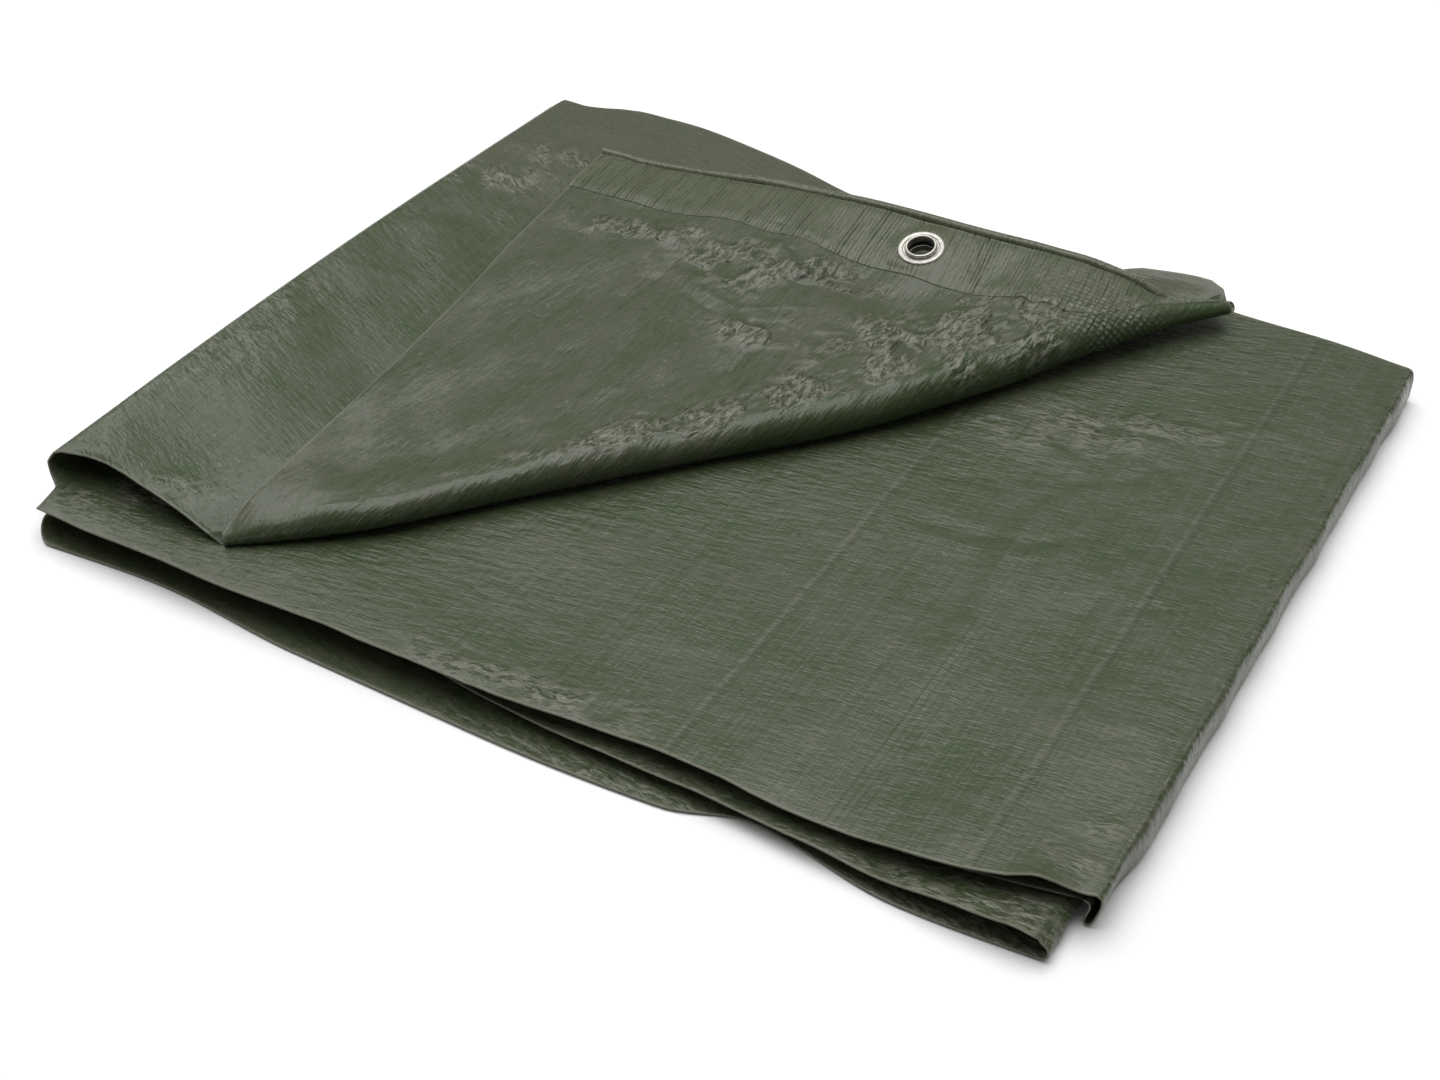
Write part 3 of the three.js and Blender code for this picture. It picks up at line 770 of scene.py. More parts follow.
def sheet_mesh(name, grid, weave, marks, thickness):
    """Closed skin round a grid of points with rounded long edges. marks are attributes of the points; a rim
    mark for the painted highlight along the long edges is added to them.
    """
    thickness = np.broadcast_to(np.asarray(thickness, float), (len(grid),))[:, None]
    normals = grid_normals(grid)
    count, width = grid.shape[:2]
    steps = np.linalg.norm(np.diff(grid, axis=1), axis=-1).mean(axis=0)
    reach = np.concatenate([[0], np.cumsum(steps)])
    inward = np.minimum(reach, reach[-1] - reach)
    half = (thickness / MM / 2 + RIM_BULGE * np.exp(-inward / RIM_BULGE_REACH))[..., None]
    # The rim mark paints a highlight along the long edges, fading inward from them
    marks = {**marks, "rim": np.exp(-inward / RIM_HIGHLIGHT_REACH)}
    top = grid + normals * half
    low = grid - normals * half
    rounds = np.radians(RIM_ROUND)
    first = -unit(grid[:, 1] - grid[:, 0])
    last = unit(grid[:, -1] - grid[:, -2])

    def rim(middle, outward, normal, size, angles):
        return [middle + size * (math.cos(a) * outward + math.sin(a) * normal) for a in angles]

    far = rim(grid[:, -1], last, normals[:, -1], half[:, -1], rounds)
    close = rim(grid[:, 0], first, normals[:, 0], half[:, 0], rounds[::-1])
    loop = np.concatenate(
        [top, np.stack(far, 1), low[:, ::-1], np.stack(close, 1)], axis=1)
    around = loop.shape[1]

    def wrap(values):
        ends = [values[:, -1:]] * 3 + [values[:, ::-1]] + [values[:, :1]] * 3
        return np.concatenate([values] + ends, axis=1)

    points = (loop.reshape(-1, 3) + CORNER) * MM
    i, j = np.meshgrid(np.arange(count - 1), np.arange(around), indexing="ij")
    k = (j + 1) % around
    quads = np.stack([i * around + j, (i + 1) * around + j, (i + 1) * around + k, i * around + k], -1)
    faces = [tuple(face) for face in quads.reshape(-1, 4).tolist()]
    for end, flip in ((0, False), (count - 1, True)):
        base = end * around
        ladder = [
            (base + a, base + a + 1, base + 2 * width + 1 - a, base + 2 * width + 2 - a)
            for a in range(width - 1)
        ]
        ladder.append(tuple(base + a for a in range(width - 1, width + 4)))
        ladder.append(tuple(base + a % around for a in range(2 * width + 2, 2 * width + 7)))
        faces += [face[::-1] for face in ladder] if flip else ladder
    mesh = bpy.data.meshes.new(name)
    mesh.from_pydata(points.tolist(), [], faces)
    mesh.validate()
    corners = np.empty(len(mesh.loops), np.int32)
    mesh.loops.foreach_get("vertex_index", corners)
    layer = mesh.uv_layers.new(name="Weave")
    uv = wrap(weave).reshape(-1, 2)[corners] * MM
    layer.uv.foreach_set("vector", uv.astype(np.float32).ravel())
    for key, values in marks.items():
        attribute = mesh.attributes.new(key, "FLOAT", "POINT")
        whole = wrap(np.broadcast_to(values, (count, width)))
        attribute.data.foreach_set("value", whole.reshape(-1).astype(np.float32))
    mesh.polygons.foreach_set("use_smooth", [True] * len(mesh.polygons))
    mesh.update()
    made = bpy.data.objects.new(name, mesh)
    bpy.context.scene.collection.objects.link(made)
    fix = bmesh.new()
    fix.from_mesh(mesh)
    if fix.calc_volume(signed=True) < 0:
        bmesh.ops.reverse_faces(fix, faces=fix.faces)
        fix.to_mesh(mesh)
    fix.free()
    return made


def finish_piece(piece, material, *nodes, slot):
    piece.data.materials.clear()
    piece.data.materials.append(material)
    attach(piece, "root")
    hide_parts(*nodes)
    return piece


# Shader groups and materials

def feed(tree, socket, value):
    """Links an input to another node's socket, or sets it to a plain value."""
    if isinstance(value, bpy.types.NodeSocket):
        tree.links.new(value, socket)
    else:
        socket.default_value = value


def put(tree, kind, inputs=None, **settings):
    node = tree.nodes.new(kind)
    for key, value in settings.items():
        setattr(node, key, value)
    for key, value in (inputs or {}).items():
        feed(tree, node.inputs[key], value)
    return node


def sums(tree, operation, *values):
    return put(tree, "ShaderNodeMath", dict(enumerate(values)), operation=operation).outputs[0]


def times(tree, *values):
    return sums(tree, "MULTIPLY", *values)


def blend(tree, share, low, high, kind="RGBA"):
    low_key, high_key, result = {"RGBA": (6, 7, 2), "FLOAT": (2, 3, 0)}[kind]
    inputs = {0: share, low_key: low, high_key: high}
    return put(tree, "ShaderNodeMix", inputs, data_type=kind).outputs[result]


def ramp(tree, value, low, high, out_low=0.0, out_high=1.0):
    node = put(tree, "ShaderNodeMapRange", {
        "Value": value, "From Min": low, "From Max": high, "To Min": out_low, "To Max": out_high,
    }, clamp=True)
    return node.outputs[0]


def flat_noise(tree, inputs):
    return put(tree, "ShaderNodeTexNoise", inputs, noise_dimensions="2D").outputs


def split(tree, vector):
    return put(tree, "ShaderNodeSeparateXYZ", {0: vector}).outputs


def turned(tree, source):
    """The group's vector turned by its angle, as separate coordinates."""
    inputs = {key: source[key] for key in ("Vector", "Angle")}
    return split(tree, put(tree, "ShaderNodeVectorRotate", inputs, rotation_type="Z_AXIS").outputs[0])


def use(tree, group, output, **inputs):
    node = put(tree, "ShaderNodeGroup", inputs, node_tree=bpy.data.node_groups[group])
    return node.outputs[output]


def new_group(name, outputs, **numbers):
    """Shader group that takes a vector and the named numbers, with its own inputs and results."""
    tree = bpy.data.node_groups.new(name, "ShaderNodeTree")
    tree.interface.new_socket("Vector", in_out="INPUT", socket_type="NodeSocketVector")
    for key, default in numbers.items():
        socket = tree.interface.new_socket(key, in_out="INPUT", socket_type="NodeSocketFloat")
        socket.default_value = default
    for key in outputs:
        tree.interface.new_socket(key, in_out="OUTPUT", socket_type="NodeSocketFloat")
    return tree, tree.nodes.new("NodeGroupInput").outputs, tree.nodes.new("NodeGroupOutput").inputs


def weave_group():
    """Flat tapes woven over and under, on coordinates in metres."""
    tree, source, result = new_group("Woven Tapes", ["Height", "Gap"], Pitch=0.0023)
    parts = split(tree, source["Vector"])
    cells = [sums(tree, "DIVIDE", parts[axis], source["Pitch"]) for axis in (0, 1)]
    floors = [sums(tree, "FLOOR", cell) for cell in cells]
    over = sums(tree, "PINGPONG", sums(tree, "ADD", *floors), 1.0)
    humps = []
    for cell in cells:
        middle = sums(tree, "SUBTRACT", times(tree, sums(tree, "FRACT", cell), 2.0), 1.0)
        side = sums(tree, "POWER", sums(tree, "ABSOLUTE", middle), 2.4)
        humps.append(sums(tree, "SUBTRACT", 1.0, side))
    warp, weft = (
        times(tree, mine, sums(tree, "MULTIPLY_ADD", other, 0.45, 0.55))
        for mine, other in (humps, humps[::-1]))
    feed(tree, result["Height"], blend(tree, over, warp, weft, "FLOAT"))
    feed(tree, result["Gap"], ramp(tree, sums(tree, "MINIMUM", *humps), 0.0, 0.35, 1.0, 0.0))


def streak_group():
    """Noise drawn out along one direction, for ripples, bands and rubbed marks."""
    tree, source, result = new_group(
        "Streaks", ["Value"], Angle=0.0, Length=0.012, Width=0.003, Detail=3.0)
    parts = turned(tree, source)
    along = sums(tree, "DIVIDE", parts[0], source["Length"])
    across = sums(tree, "DIVIDE", parts[1], source["Width"])
    place = put(tree, "ShaderNodeCombineXYZ", {0: along, 1: across}).outputs[0]
    noise = flat_noise(tree, {
        "Vector": place, "Scale": 1.0, "Detail": source["Detail"], "Roughness": 0.55})
    feed(tree, result["Value"], noise[0])


def rib_group():
    """Narrow grooves side by side across the first coordinate, some deep and some faint."""
    tree, source, result = new_group("Ribs", ["Groove"], Pitch=0.0046)
    drift = flat_noise(tree, {"Vector": source["Vector"], "Scale": 16.0, "Detail": 1.0})
    place = sums(tree, "ADD", split(tree, source["Vector"])[0], times(tree, drift[0], 0.008))
    share = sums(tree, "DIVIDE", place, source["Pitch"])
    wave = sums(tree, "ABSOLUTE", sums(tree, "SINE", times(tree, share, 2 * math.pi)))
    depth = use(
        tree, "Streaks", "Value", Vector=source["Vector"], Angle=-1.5, Length=0.09, Width=0.0028,
        Detail=3.0)
    deep = times(tree, ramp(tree, wave, 0.95, 0.0), ramp(tree, depth, 0.34, 0.70))
    feed(tree, result["Groove"], deep)


def fold_line_group():
    """Straight pressed lines across the first coordinate, each a ridge beside a trough."""
    tree, source, result = new_group(
        "Pressed Folds", ["Ridge", "Trough"], First=0.289, Second=0.403, Gap=0.0026)
    across = split(tree, source["Vector"])[0]
    places = {"Ridge": across, "Trough": sums(tree, "SUBTRACT", across, source["Gap"])}
    for key, place in places.items():
        away = [
            sums(tree, "ABSOLUTE", sums(tree, "SUBTRACT", place, source[line]))
            for line in ("First", "Second")
        ]
        feed(tree, result[key], ramp(tree, sums(tree, "MINIMUM", *away), 0.0003, 0.0015, 1.0, 0.0))


def crinkle_group():
    """Sharp crinkles of crumpled film: bent cells with ridges where they meet."""
    tree, source, result = new_group("Crinkle", ["Height"], Angle=0.0, Size=0.006, Stretch=2.0)
    often = sums(tree, "DIVIDE", 1.0, source["Size"])
    parts = turned(tree, source)
    drawn = put(tree, "ShaderNodeCombineXYZ", {
        0: sums(tree, "DIVIDE", parts[0], source["Stretch"]), 1: parts[1]}).outputs[0]
    bend = flat_noise(tree, {"Vector": drawn, "Scale": times(tree, often, 0.6), "Detail": 3.0})
    middle = put(tree, "ShaderNodeVectorMath", {
        0: bend["Color"], 1: (0.5, 0.5, 0.5)}, operation="SUBTRACT").outputs[0]
    reach = put(tree, "ShaderNodeVectorMath", {
        0: middle, "Scale": times(tree, source["Size"], 2.6)}, operation="SCALE").outputs[0]
    place = put(tree, "ShaderNodeVectorMath", {0: drawn, 1: reach}, operation="ADD").outputs[0]
    cells = put(tree, "ShaderNodeTexVoronoi", {
        "Vector": place, "Scale": often}, voronoi_dimensions="2D", distance="MANHATTAN")
    feed(tree, result["Height"], cells.outputs["Distance"])


def new_material(name):
    material = bpy.data.materials.new(name)
    material.use_nodes = True
    tree = material.node_tree
    return material, tree, tree.nodes["Principled BSDF"]


def bump(tree, height, distance, normal=None, strength=1.0):
    inputs = {"Height": height, "Distance": distance, "Strength": strength}
    if normal is not None:
        inputs["Normal"] = normal
    return put(tree, "ShaderNodeBump", inputs).outputs[0]


def film_material(name, ribbed):
    """Woven sheet with a glossy film on it: grain, lines, mottles, tapes and crinkles, with painted glints,
    painted highlights on the rims and fold ridges, pale whitening with painted sheen where crumpled, and
    painted shade in specks, weave gaps, fold troughs and rib grooves.
    """
    sheet = bpy.context.scene.tarp_sheet
    hem = bpy.context.scene.tarp_hem
    material, tree, shader = new_material(name)
    place = put(tree, "ShaderNodeUVMap", uv_map="Weave").outputs[0]
    crumpled_zone, rim, taut, grain, ruffle, tone, pressed = (
        put(tree, "ShaderNodeAttribute", attribute_name=key).outputs["Fac"]
        for key in ("crumple", "rim", "taut", "grain", "ruffle", "tone", "pressed"))

    def streaks(length, width, detail, angle=grain):
        return use(
            tree, "Streaks", "Value", Vector=place, Angle=angle, Length=length, Width=width, Detail=detail)

    ripple = streaks(0.011, 0.0019, 3.0)
    glint_tick = streaks(0.0046, 0.0008, 1.0)
    speck = streaks(0.0050, 0.0011, 1.0, sums(tree, "ADD", grain, 0.12))
    mottle = streaks(0.013, 0.0042, 5.0)
    patch = streaks(0.080, 0.032, 3.0)
    line = streaks(0.9, 0.0030, 3.0, -math.pi / 2)
    coarse = use(tree, "Crinkle", "Height", Vector=place, Angle=grain, Size=0.0085, Stretch=1.6)
    small = use(tree, "Crinkle", "Height", Vector=place, Angle=grain, Size=0.0026, Stretch=2.6)
    height = use(tree, "Woven Tapes", "Height", Vector=place, Pitch=sheet.weave_pitch)
    gap = use(tree, "Woven Tapes", "Gap", Vector=place, Pitch=sheet.weave_pitch)

    # Random greyer mottles and bands, plus the tone mark, which also paints light and shade: paler flap and
    # hem, darker roll, shade beside the fold
    broad = times(tree, ramp(tree, patch, 0.36, 0.64), 0.4)
    grey_and_painted_light = sums(tree, "MULTIPLY_ADD", ramp(tree, mottle, 0.36, 0.64), 0.6, broad)
    grey_and_painted_light = sums(tree, "MULTIPLY_ADD", ramp(tree, line, 0.54, 0.66), 0.35, grey_and_painted_light)
    grey_and_painted_light = sums(tree, "ADD", grey_and_painted_light, tone)
    pressed = times(tree, pressed, ramp(tree, mottle, 0.36, 0.56, 0.3, 1.0))
    ridge = times(tree, use(tree, "Pressed Folds", "Ridge", Vector=place), pressed)
    trough = times(tree, use(tree, "Pressed Folds", "Trough", Vector=place), pressed)
    # Painted light: the hem's film is a lighter copy, with its grey colour lifted
    lift = HEM_PAINTED_LIGHT if ribbed else 1.0
    grey_and_lit = [part * lift for part in sheet.grey_and_lit_colour]
    base = blend(tree, sums(tree, "MINIMUM", grey_and_painted_light, 1.0), (*sheet.colour, 1), (*grey_and_lit, 1))
    # Painted shade: dark dashes along the grain where the speck streaks dip
    painted_shade = times(tree, ramp(tree, speck, 0.30, 0.24), 0.5)
    # Painted shade in the gaps between the tapes, strongest where the weave prints through
    gap_shade = sums(tree, "MULTIPLY_ADD", taut, 0.95, 0.04)
    painted_shade = sums(tree, "MAXIMUM", painted_shade, times(tree, gap, gap_shade))
    # Painted shade in the troughs of the pressed folds
    painted_shade = sums(tree, "MAXIMUM", painted_shade, times(tree, trough, 0.25))
    groove = None
    if ribbed:
        groove = use(tree, "Ribs", "Groove", Vector=place, Pitch=hem.rib_pitch)
        flat = put(tree, "ShaderNodeAttribute", attribute_name="flat").outputs["Fac"]
        groove = times(tree, groove, flat)
        # Painted shade in the hem's rib grooves
        painted_shade = sums(tree, "MAXIMUM", painted_shade, times(tree, groove, 0.28))
    # The painted shade blends the colour towards near black
    base = blend(tree, painted_shade, base, (0.006, 0.010, 0.004, 1))
    # Painted glints: short pale ticks along the grain
    painted_highlight_and_whitening = times(tree, ramp(tree, glint_tick, 0.73, 0.78), 0.5)
    # Crumpled places: pale whitening of the film together with painted sheen on the crinkles, and a painted
    # highlight on the pressed-fold ridges
    whitening_and_sheen = times(tree, ramp(tree, small, 0.4, 0.7), times(tree, crumpled_zone, 0.7))
    whitening_and_sheen = sums(tree, "MAXIMUM", whitening_and_sheen, times(tree, ridge, 0.14))
    # Painted glints on the tops of the tapes where the weave prints through
    tape_glints = times(tree, ramp(tree, height, 0.8, 0.95), times(tree, taut, 0.9))
    tape_glints = times(tree, tape_glints, ramp(tree, ripple, 0.42, 0.56))
    painted_highlight_and_whitening = sums(tree, "MAXIMUM", painted_highlight_and_whitening, sums(tree, "MAXIMUM", whitening_and_sheen, tape_glints))
    # Painted highlight along the rims of every sheet
    painted_highlight_and_whitening = sums(tree, "MAXIMUM", painted_highlight_and_whitening, times(tree, rim, 0.5))
    base = blend(tree, painted_highlight_and_whitening, base, (*sheet.edge_highlight_colour, 1))
    feed(tree, shader.inputs["Base Color"], base)

    rough = ramp(tree, patch, 0.3, 0.7, 0.2, 0.3)
    rough = sums(tree, "ADD", rough, times(tree, taut, 0.06))
    feed(tree, shader.inputs["Roughness"], rough)
    shader.inputs["Specular IOR Level"].default_value = 0.36

    normal = bump(tree, times(tree, ripple, ruffle), sheet.ripple)
    normal = bump(tree, speck, sheet.ripple * 0.25, normal)
    normal = bump(tree, line, sheet.ripple * 0.5, normal)
    normal = bump(tree, times(tree, mottle, ruffle), sheet.ripple * 1.7, normal)
    normal = bump(tree, sums(tree, "SUBTRACT", ridge, trough), 0.0001, normal)
    normal = bump(tree, times(tree, coarse, crumpled_zone), sheet.crinkle, normal)
    normal = bump(tree, times(tree, small, crumpled_zone), sheet.crinkle * 0.4, normal)
    woven = times(tree, height, sums(tree, "MULTIPLY_ADD", taut, 0.9, 0.05))
    normal = bump(tree, woven, 0.0004, normal)
    if ribbed:
        normal = bump(tree, times(tree, groove, -1.0), hem.rib_depth, normal)
    feed(tree, shader.inputs["Normal"], normal)
    return material


def metal_material():
    eyelet = bpy.context.scene.tarp_eyelets
    material, tree, shader = new_material("Bare Aluminium")
    place = put(tree, "ShaderNodeTexCoord").outputs["Object"]
    cloud = put(tree, "ShaderNodeTexNoise", {"Vector": place, "Scale": 420.0, "Detail": 3.0})
    fine = put(tree, "ShaderNodeTexNoise", {"Vector": place, "Scale": 2600.0, "Detail": 2.0})
    colour = blend(tree, ramp(tree, cloud.outputs[0], 0.4, 0.65), (*eyelet.colour, 1), (0.38, 0.37, 0.32, 1))
    feed(tree, shader.inputs["Base Color"], colour)
    feed(tree, shader.inputs["Roughness"], ramp(tree, fine.outputs[0], 0.3, 0.7, 0.3, 0.46))
    shader.inputs["Metallic"].default_value = 0.9
    feed(tree, shader.inputs["Normal"], bump(tree, fine.outputs[0], 0.00006))
    return material


def film_for(name):
    """One of the two films, made once."""
    return bpy.data.materials.get(name) or film_material(name, name == HEM_FILM)


# Pieces

def concat(*bands):
    return np.concatenate(bands, axis=0)


def relief(grid, raised):
    """Moves each point along its own normal by the raised height."""
    return grid + grid_normals(grid) * raised[..., None]


class TARP_OT_lower_plies(bpy.types.Operator):
    """Builds the two lowest plies and the wide left fold under the top ply"""
    bl_idname = "tarp.lower_plies"
    bl_label = "Lower Plies"

    def execute(self, context):
        sheet = context.scene.tarp_sheet
        row = spread_rows(LOWER_ROWS)[None, :]
        share = np.linspace(0, 1, LOWER_STEPS)[:, None]
        turn = np.linspace(-math.pi / 2, math.pi / 2, FOLD_STEPS)[1:-1, None]
        part = np.linspace(0, UNDER_SPLIT[0], UNDER_STEPS)[:, None]
        inner = edge_wave(ply_points(INNER, share, row), INNER, SEED["inner rim"], 1.1, INNER_RIM)
        right = fold_points(BOTTOM, INNER, 1, turn[::-1], row)
        bottom = ply_points(BOTTOM, 1 - share, row)
        left = fold_points(BOTTOM, UNDER, -1, turn, row)
        under = edge_wave(ply_points(UNDER, part, row), UNDER, SEED["under rim"], 0.3)
        grid = concat(inner, right, bottom, left, under)
        x, y = grid[..., 0], grid[..., 1]
        first = len(inner)
        panel = len(inner) + len(right)

        near = np.exp(-np.maximum(y - 4, 0) / 26)
        corner = smooth(260, 420, x) * near
        raised = np.zeros(x.shape)
        amount = 0.25 + corner + 1.4 * near * smooth(370, 420, x)
        small = 0.5 * facets(x, y, SEED["lower plies"], (9, 26), 1.2, 1.2) * amount
        raised[:first] = small[:first] * near[:first]
        round_fold = 0.9 * facets(y, 2.5 * grid[..., 2], SEED["right fold"], (8, 20), 0.2, 0.9) * near
        raised[first:panel] = round_fold[first:panel] * smooth(0, 0.2, 1 - np.abs(turn / math.pi * 2))
        mark = near * (0.1 + 0.3 * smooth(150, 300, x) + 0.5 * smooth(360, 420, x))
        grid = relief(grid, raised * smooth(0, 0.008, row))
        steps = np.linalg.norm(np.diff(grid[:, 40], axis=0), axis=-1)
        along = np.concatenate([[0], np.cumsum(steps)])
        weave = np.stack(np.broadcast_arrays(along[:, None], y), -1)
        marks = {"crumple": mark, "taut": 0, "grain": -0.2, "ruffle": 0.35}
        made = sheet_mesh("tarp_lower", grid, weave, marks, sheet.thickness)
        finish_piece(made, film_for(SHEET_FILM), "tarp_cloth", slot="woven_sheet")
        return {"FINISHED"}


def leaf_split(row, inward):
    """Share along the leaf at which it passes under the flap's left side, by inward mm."""
    tries = np.linspace(0, 1, 400)[:, None]
    points = leaf_points(tries, row)
    past = points[..., 0] - split_x(points[..., 1]) - inward
    index = np.argmax(past > 0, axis=0)
    none = ~(past > 0).any(axis=0)
    found = tries[index, 0]
    return np.where(none, 0.92, np.minimum(found, 0.92))


class TARP_OT_top_ply(bpy.types.Operator):
    """Builds the top ply, the wall at its right, the spine and the leaf as far as the roll"""
    bl_idname = "tarp.top_ply"
    bl_label = "Top Ply and Leaf"

    def execute(self, context):
        sheet = context.scene.tarp_sheet
        row = spread_rows(TOP_ROWS)[None, :]
        part = np.linspace(UNDER_SPLIT[1], 1, UNDER_END_STEPS)[:, None]
        share = np.linspace(0, 1, TOP_STEPS)[:, None]
        under = edge_wave(ply_points(UNDER, part, row), UNDER, SEED["under rim"], 0.3)
        wall = wall_points(np.linspace(0, 1, WALL_STEPS)[1:-1, None], row)
        top = edge_wave(ply_points(TOP, 1 - share, row), TOP, SEED["top rim"], 0.7, TOP_RIM)
        hidden_from = leaf_split(row[0], LEAF_UNDER)[None, :]
        shown = np.linspace(0.03, 1, 8)[:, None] * hidden_from
        knots = concat(
            top[-3:-2], top[-1:], *(spine_points(station, row) for station in SPINE),
            leaf_points(shown, row),
        )
        rise = along_knots(knots, 1, RISE_STEPS, 0.8 * (1 - smooth(0, 0.2, row)))[1:]
        rise[..., 1] += 1.5 * kinks(rise[..., 0], SEED["leaf front"], 30) * np.exp(-row * 12)
        covered = lerp(hidden_from, 1.0, np.linspace(0, 1, COVERED_STEPS)[1:, None])
        grid = concat(under, wall, top, rise, leaf_points(covered, row))
        x, y = grid[..., 0], grid[..., 1]

        start = len(under) + len(wall)
        end = start + len(top)
        raised = np.zeros(x.shape)
        mark = np.zeros(x.shape)
        taut = np.zeros(x.shape)
        tx, ty = x[start:end], y[start:end]
        rough, spots = crumple(tx, ty, TOP_SPOTS, SEED["top crumples"])
        fine = 0.10 * facets(tx, ty, SEED["top facets"], (14, 40), math.pi / 2 + 0.2, 0.4)
        slow = 0.4 * waves(tx, ty, SEED["top waves"], (60, 150), 0.9, 1.2, 12)
        fade = smooth(0, 0.04, share) * (1 - smooth(0.96, 1, share))
        raised[start:end] = -(rough + fine + slow + creases(tx, ty, TOP_CREASES)) * fade
        mark[start:end] = spots
        taut[start:end] = 0.3 * spot_mask(tx, ty, TUNNEL_SPOT)
        wall_y = y[len(under):start]
        mark[len(under):start] = 0.3 + 0.4 * np.exp(-(390 - wall_y) / 30)

        lx, ly = x[end:], y[end:]
        rough, spots = crumple(lx, ly, LEAF_SPOTS, SEED["leaf crumples"])
        fine = 0.16 * facets(lx, ly, SEED["leaf facets"], (12, 36), math.pi / 2 - 0.4, 0.4)
        slow = 0.5 * waves(lx, ly, SEED["leaf waves"], (34, 90), math.pi / 2 - 0.4, 0.5, 14)
        places = np.concatenate([np.linspace(0, 0.7, len(rise)), np.linspace(0.7, 1, len(covered))])
        strip = smooth(338, 352, ly)
        under_flap = smooth(-6, 8, lx - split_x(ly)) * (1 - strip)
        fade = smooth(0.13, 0.3, places)[:, None] * (1 - smooth(0.97, 1, places))[:, None]
        fade = fade * (1 - 0.9 * under_flap) * smooth(0, 0.01, row)
        raised[end:] = (rough + fine + slow + creases(lx, ly, LEAF_CREASES)) * fade
        mark[end:] = lerp(0.5, 1.0, smooth(200, 300, ly)) * spots
        grid = relief(grid, raised)
        middle = grid[:, row.shape[1] // 2]
        along = np.concatenate([[0], np.cumsum(np.linalg.norm(np.diff(middle, axis=0), axis=-1))])
        weave = np.stack(np.broadcast_arrays(along[:, None], grid[..., 1]), -1).copy()
        weave[start:end, :, 0] = tx
        weave[:start, :, 0] = 446 + along[start] - along[:start, None]
        weave[end:, :, 0] = -(along[end:, None] - along[end - 1])
        grain = np.full(x.shape, -0.2)
        grain[end:] = -0.42
        roll_x, roll_y, _ = roll_axis(row[0])
        away = np.min(np.hypot(tx[..., None] - roll_x[::6], ty[..., None] - roll_y[::6]), axis=-1)
        ruffle = np.full(x.shape, 0.45)
        ruffle[len(under):start] = 0.2
        ruffle[start:end] = 0.22 + 0.9 * np.exp(-np.maximum(away - 12, 0) / 38)
        tone = np.zeros(x.shape)
        # Painted shade on the leaf beside the flap's left side, where it turns down into the fold; the
        # leaf's colour also runs from greener at the front to greyer towards the back
        fold_shade = np.exp(-((lx - split_x(ly)) / 12) ** 2) * (1 - smooth(120, 240, ly))
        tone[end:] = lerp(-0.2, 0.7, smooth(230, 330, ly)) - 0.7 * fold_shade
        pressed = np.zeros(x.shape)
        pressed[start:end] = 1
        marks = dict(
            crumple=mark, taut=taut, grain=grain, ruffle=ruffle, tone=tone, pressed=pressed)
        made = sheet_mesh("tarp_top", grid, weave, marks, sheet.thickness)
        finish_piece(made, film_for(SHEET_FILM), "tarp_cloth", slot="woven_sheet")
        return {"FINISHED"}


def flap_weave(x, y):
    """Place on the flap's weave, whose tapes lie at an angle to the stack's."""
    turn_x, turn_y = math.cos(WEAVE_ANGLE), math.sin(WEAVE_ANGLE)
    return np.stack([x * turn_y - y * turn_x, x * turn_x + y * turn_y], -1)


class TARP_OT_flap(bpy.types.Operator):
    """Builds the diagonal roll and the turned-back flap"""
    bl_idname = "tarp.flap"
    bl_label = "Roll and Flap"

    def execute(self, context):
        sheet = context.scene.tarp_sheet
        hem = context.scene.tarp_hem
        row = spread_rows(FLAP_ROWS, FLAP_SPAN)[None, :]
        turn = np.linspace(-math.pi / 2, math.pi / 2, ROLL_STEPS)[:, None]
        length = flap_length(row[0])
        inset = np.minimum(hem.width / MM - HEM_LAP, np.maximum(4, length - HEM_MARGIN) - HEM_LAP / 2)
        reach = 1 - inset / length
        share = np.linspace(0, 1, FLAP_STEPS)[1:, None] * reach[None, :]
        overlap = leaf_points(np.linspace(OVERLAP_FROM, 1, OVERLAP_STEPS)[:-1, None], row)
        roll = roll_points(row, turn)
        flap = flap_points(row, share)
        grid = concat(overlap, roll, flap)
        x, y = grid[..., 0], grid[..., 1]
        start = len(overlap)
        end = start + len(roll)

        raised = np.zeros(x.shape)
        mark = np.zeros(x.shape)
        laid = np.zeros(x[start:].shape)
        laid[len(roll):] = flap_laid(row, share)
        total, spots = flap_relief(x[start:], y[start:], row, laid)
        steps = np.linspace(0, 1, len(total))[:, None]
        raised[start:] = -total * smooth(0.04, 0.14, steps)
        mark[start:] = np.minimum(2 * spots, 1) * smooth(0.02, 0.1, steps)
        grid = relief(grid, raised)

        axis_x, axis_y, radius = roll_axis(row)
        spread = radius * (math.pi / 2 - turn)
        flat_x, flat_y = x.copy(), y.copy()
        flat_x[start:end] = axis_x + ROLL_OUT[0] * spread
        flat_y[start:end] = axis_y + ROLL_OUT[1] * spread
        weave = flap_weave(flat_x, flat_y)
        taut = spot_mask(x, y, HEM_SPOT)
        # Painted light: the whole flap is made paler, a lit copy of the sheet's film
        tone = np.full(x.shape, 0.3)
        # Painted shade: the roll darkens towards its far end
        tone[:end] = 0.1 - 0.9 * smooth(0.35, 0.75, row)
        marks = dict(
            crumple=mark * (1 - 0.7 * taut), taut=taut, grain=FLAP_GRAIN, ruffle=0.6, tone=tone)
        made = sheet_mesh("tarp_flap", grid, weave, marks, sheet.thickness)
        finish_piece(made, film_for(SHEET_FILM), "tarp_cloth", slot="woven_sheet")
        cut_area(length - inset)
        return {"FINISHED"}


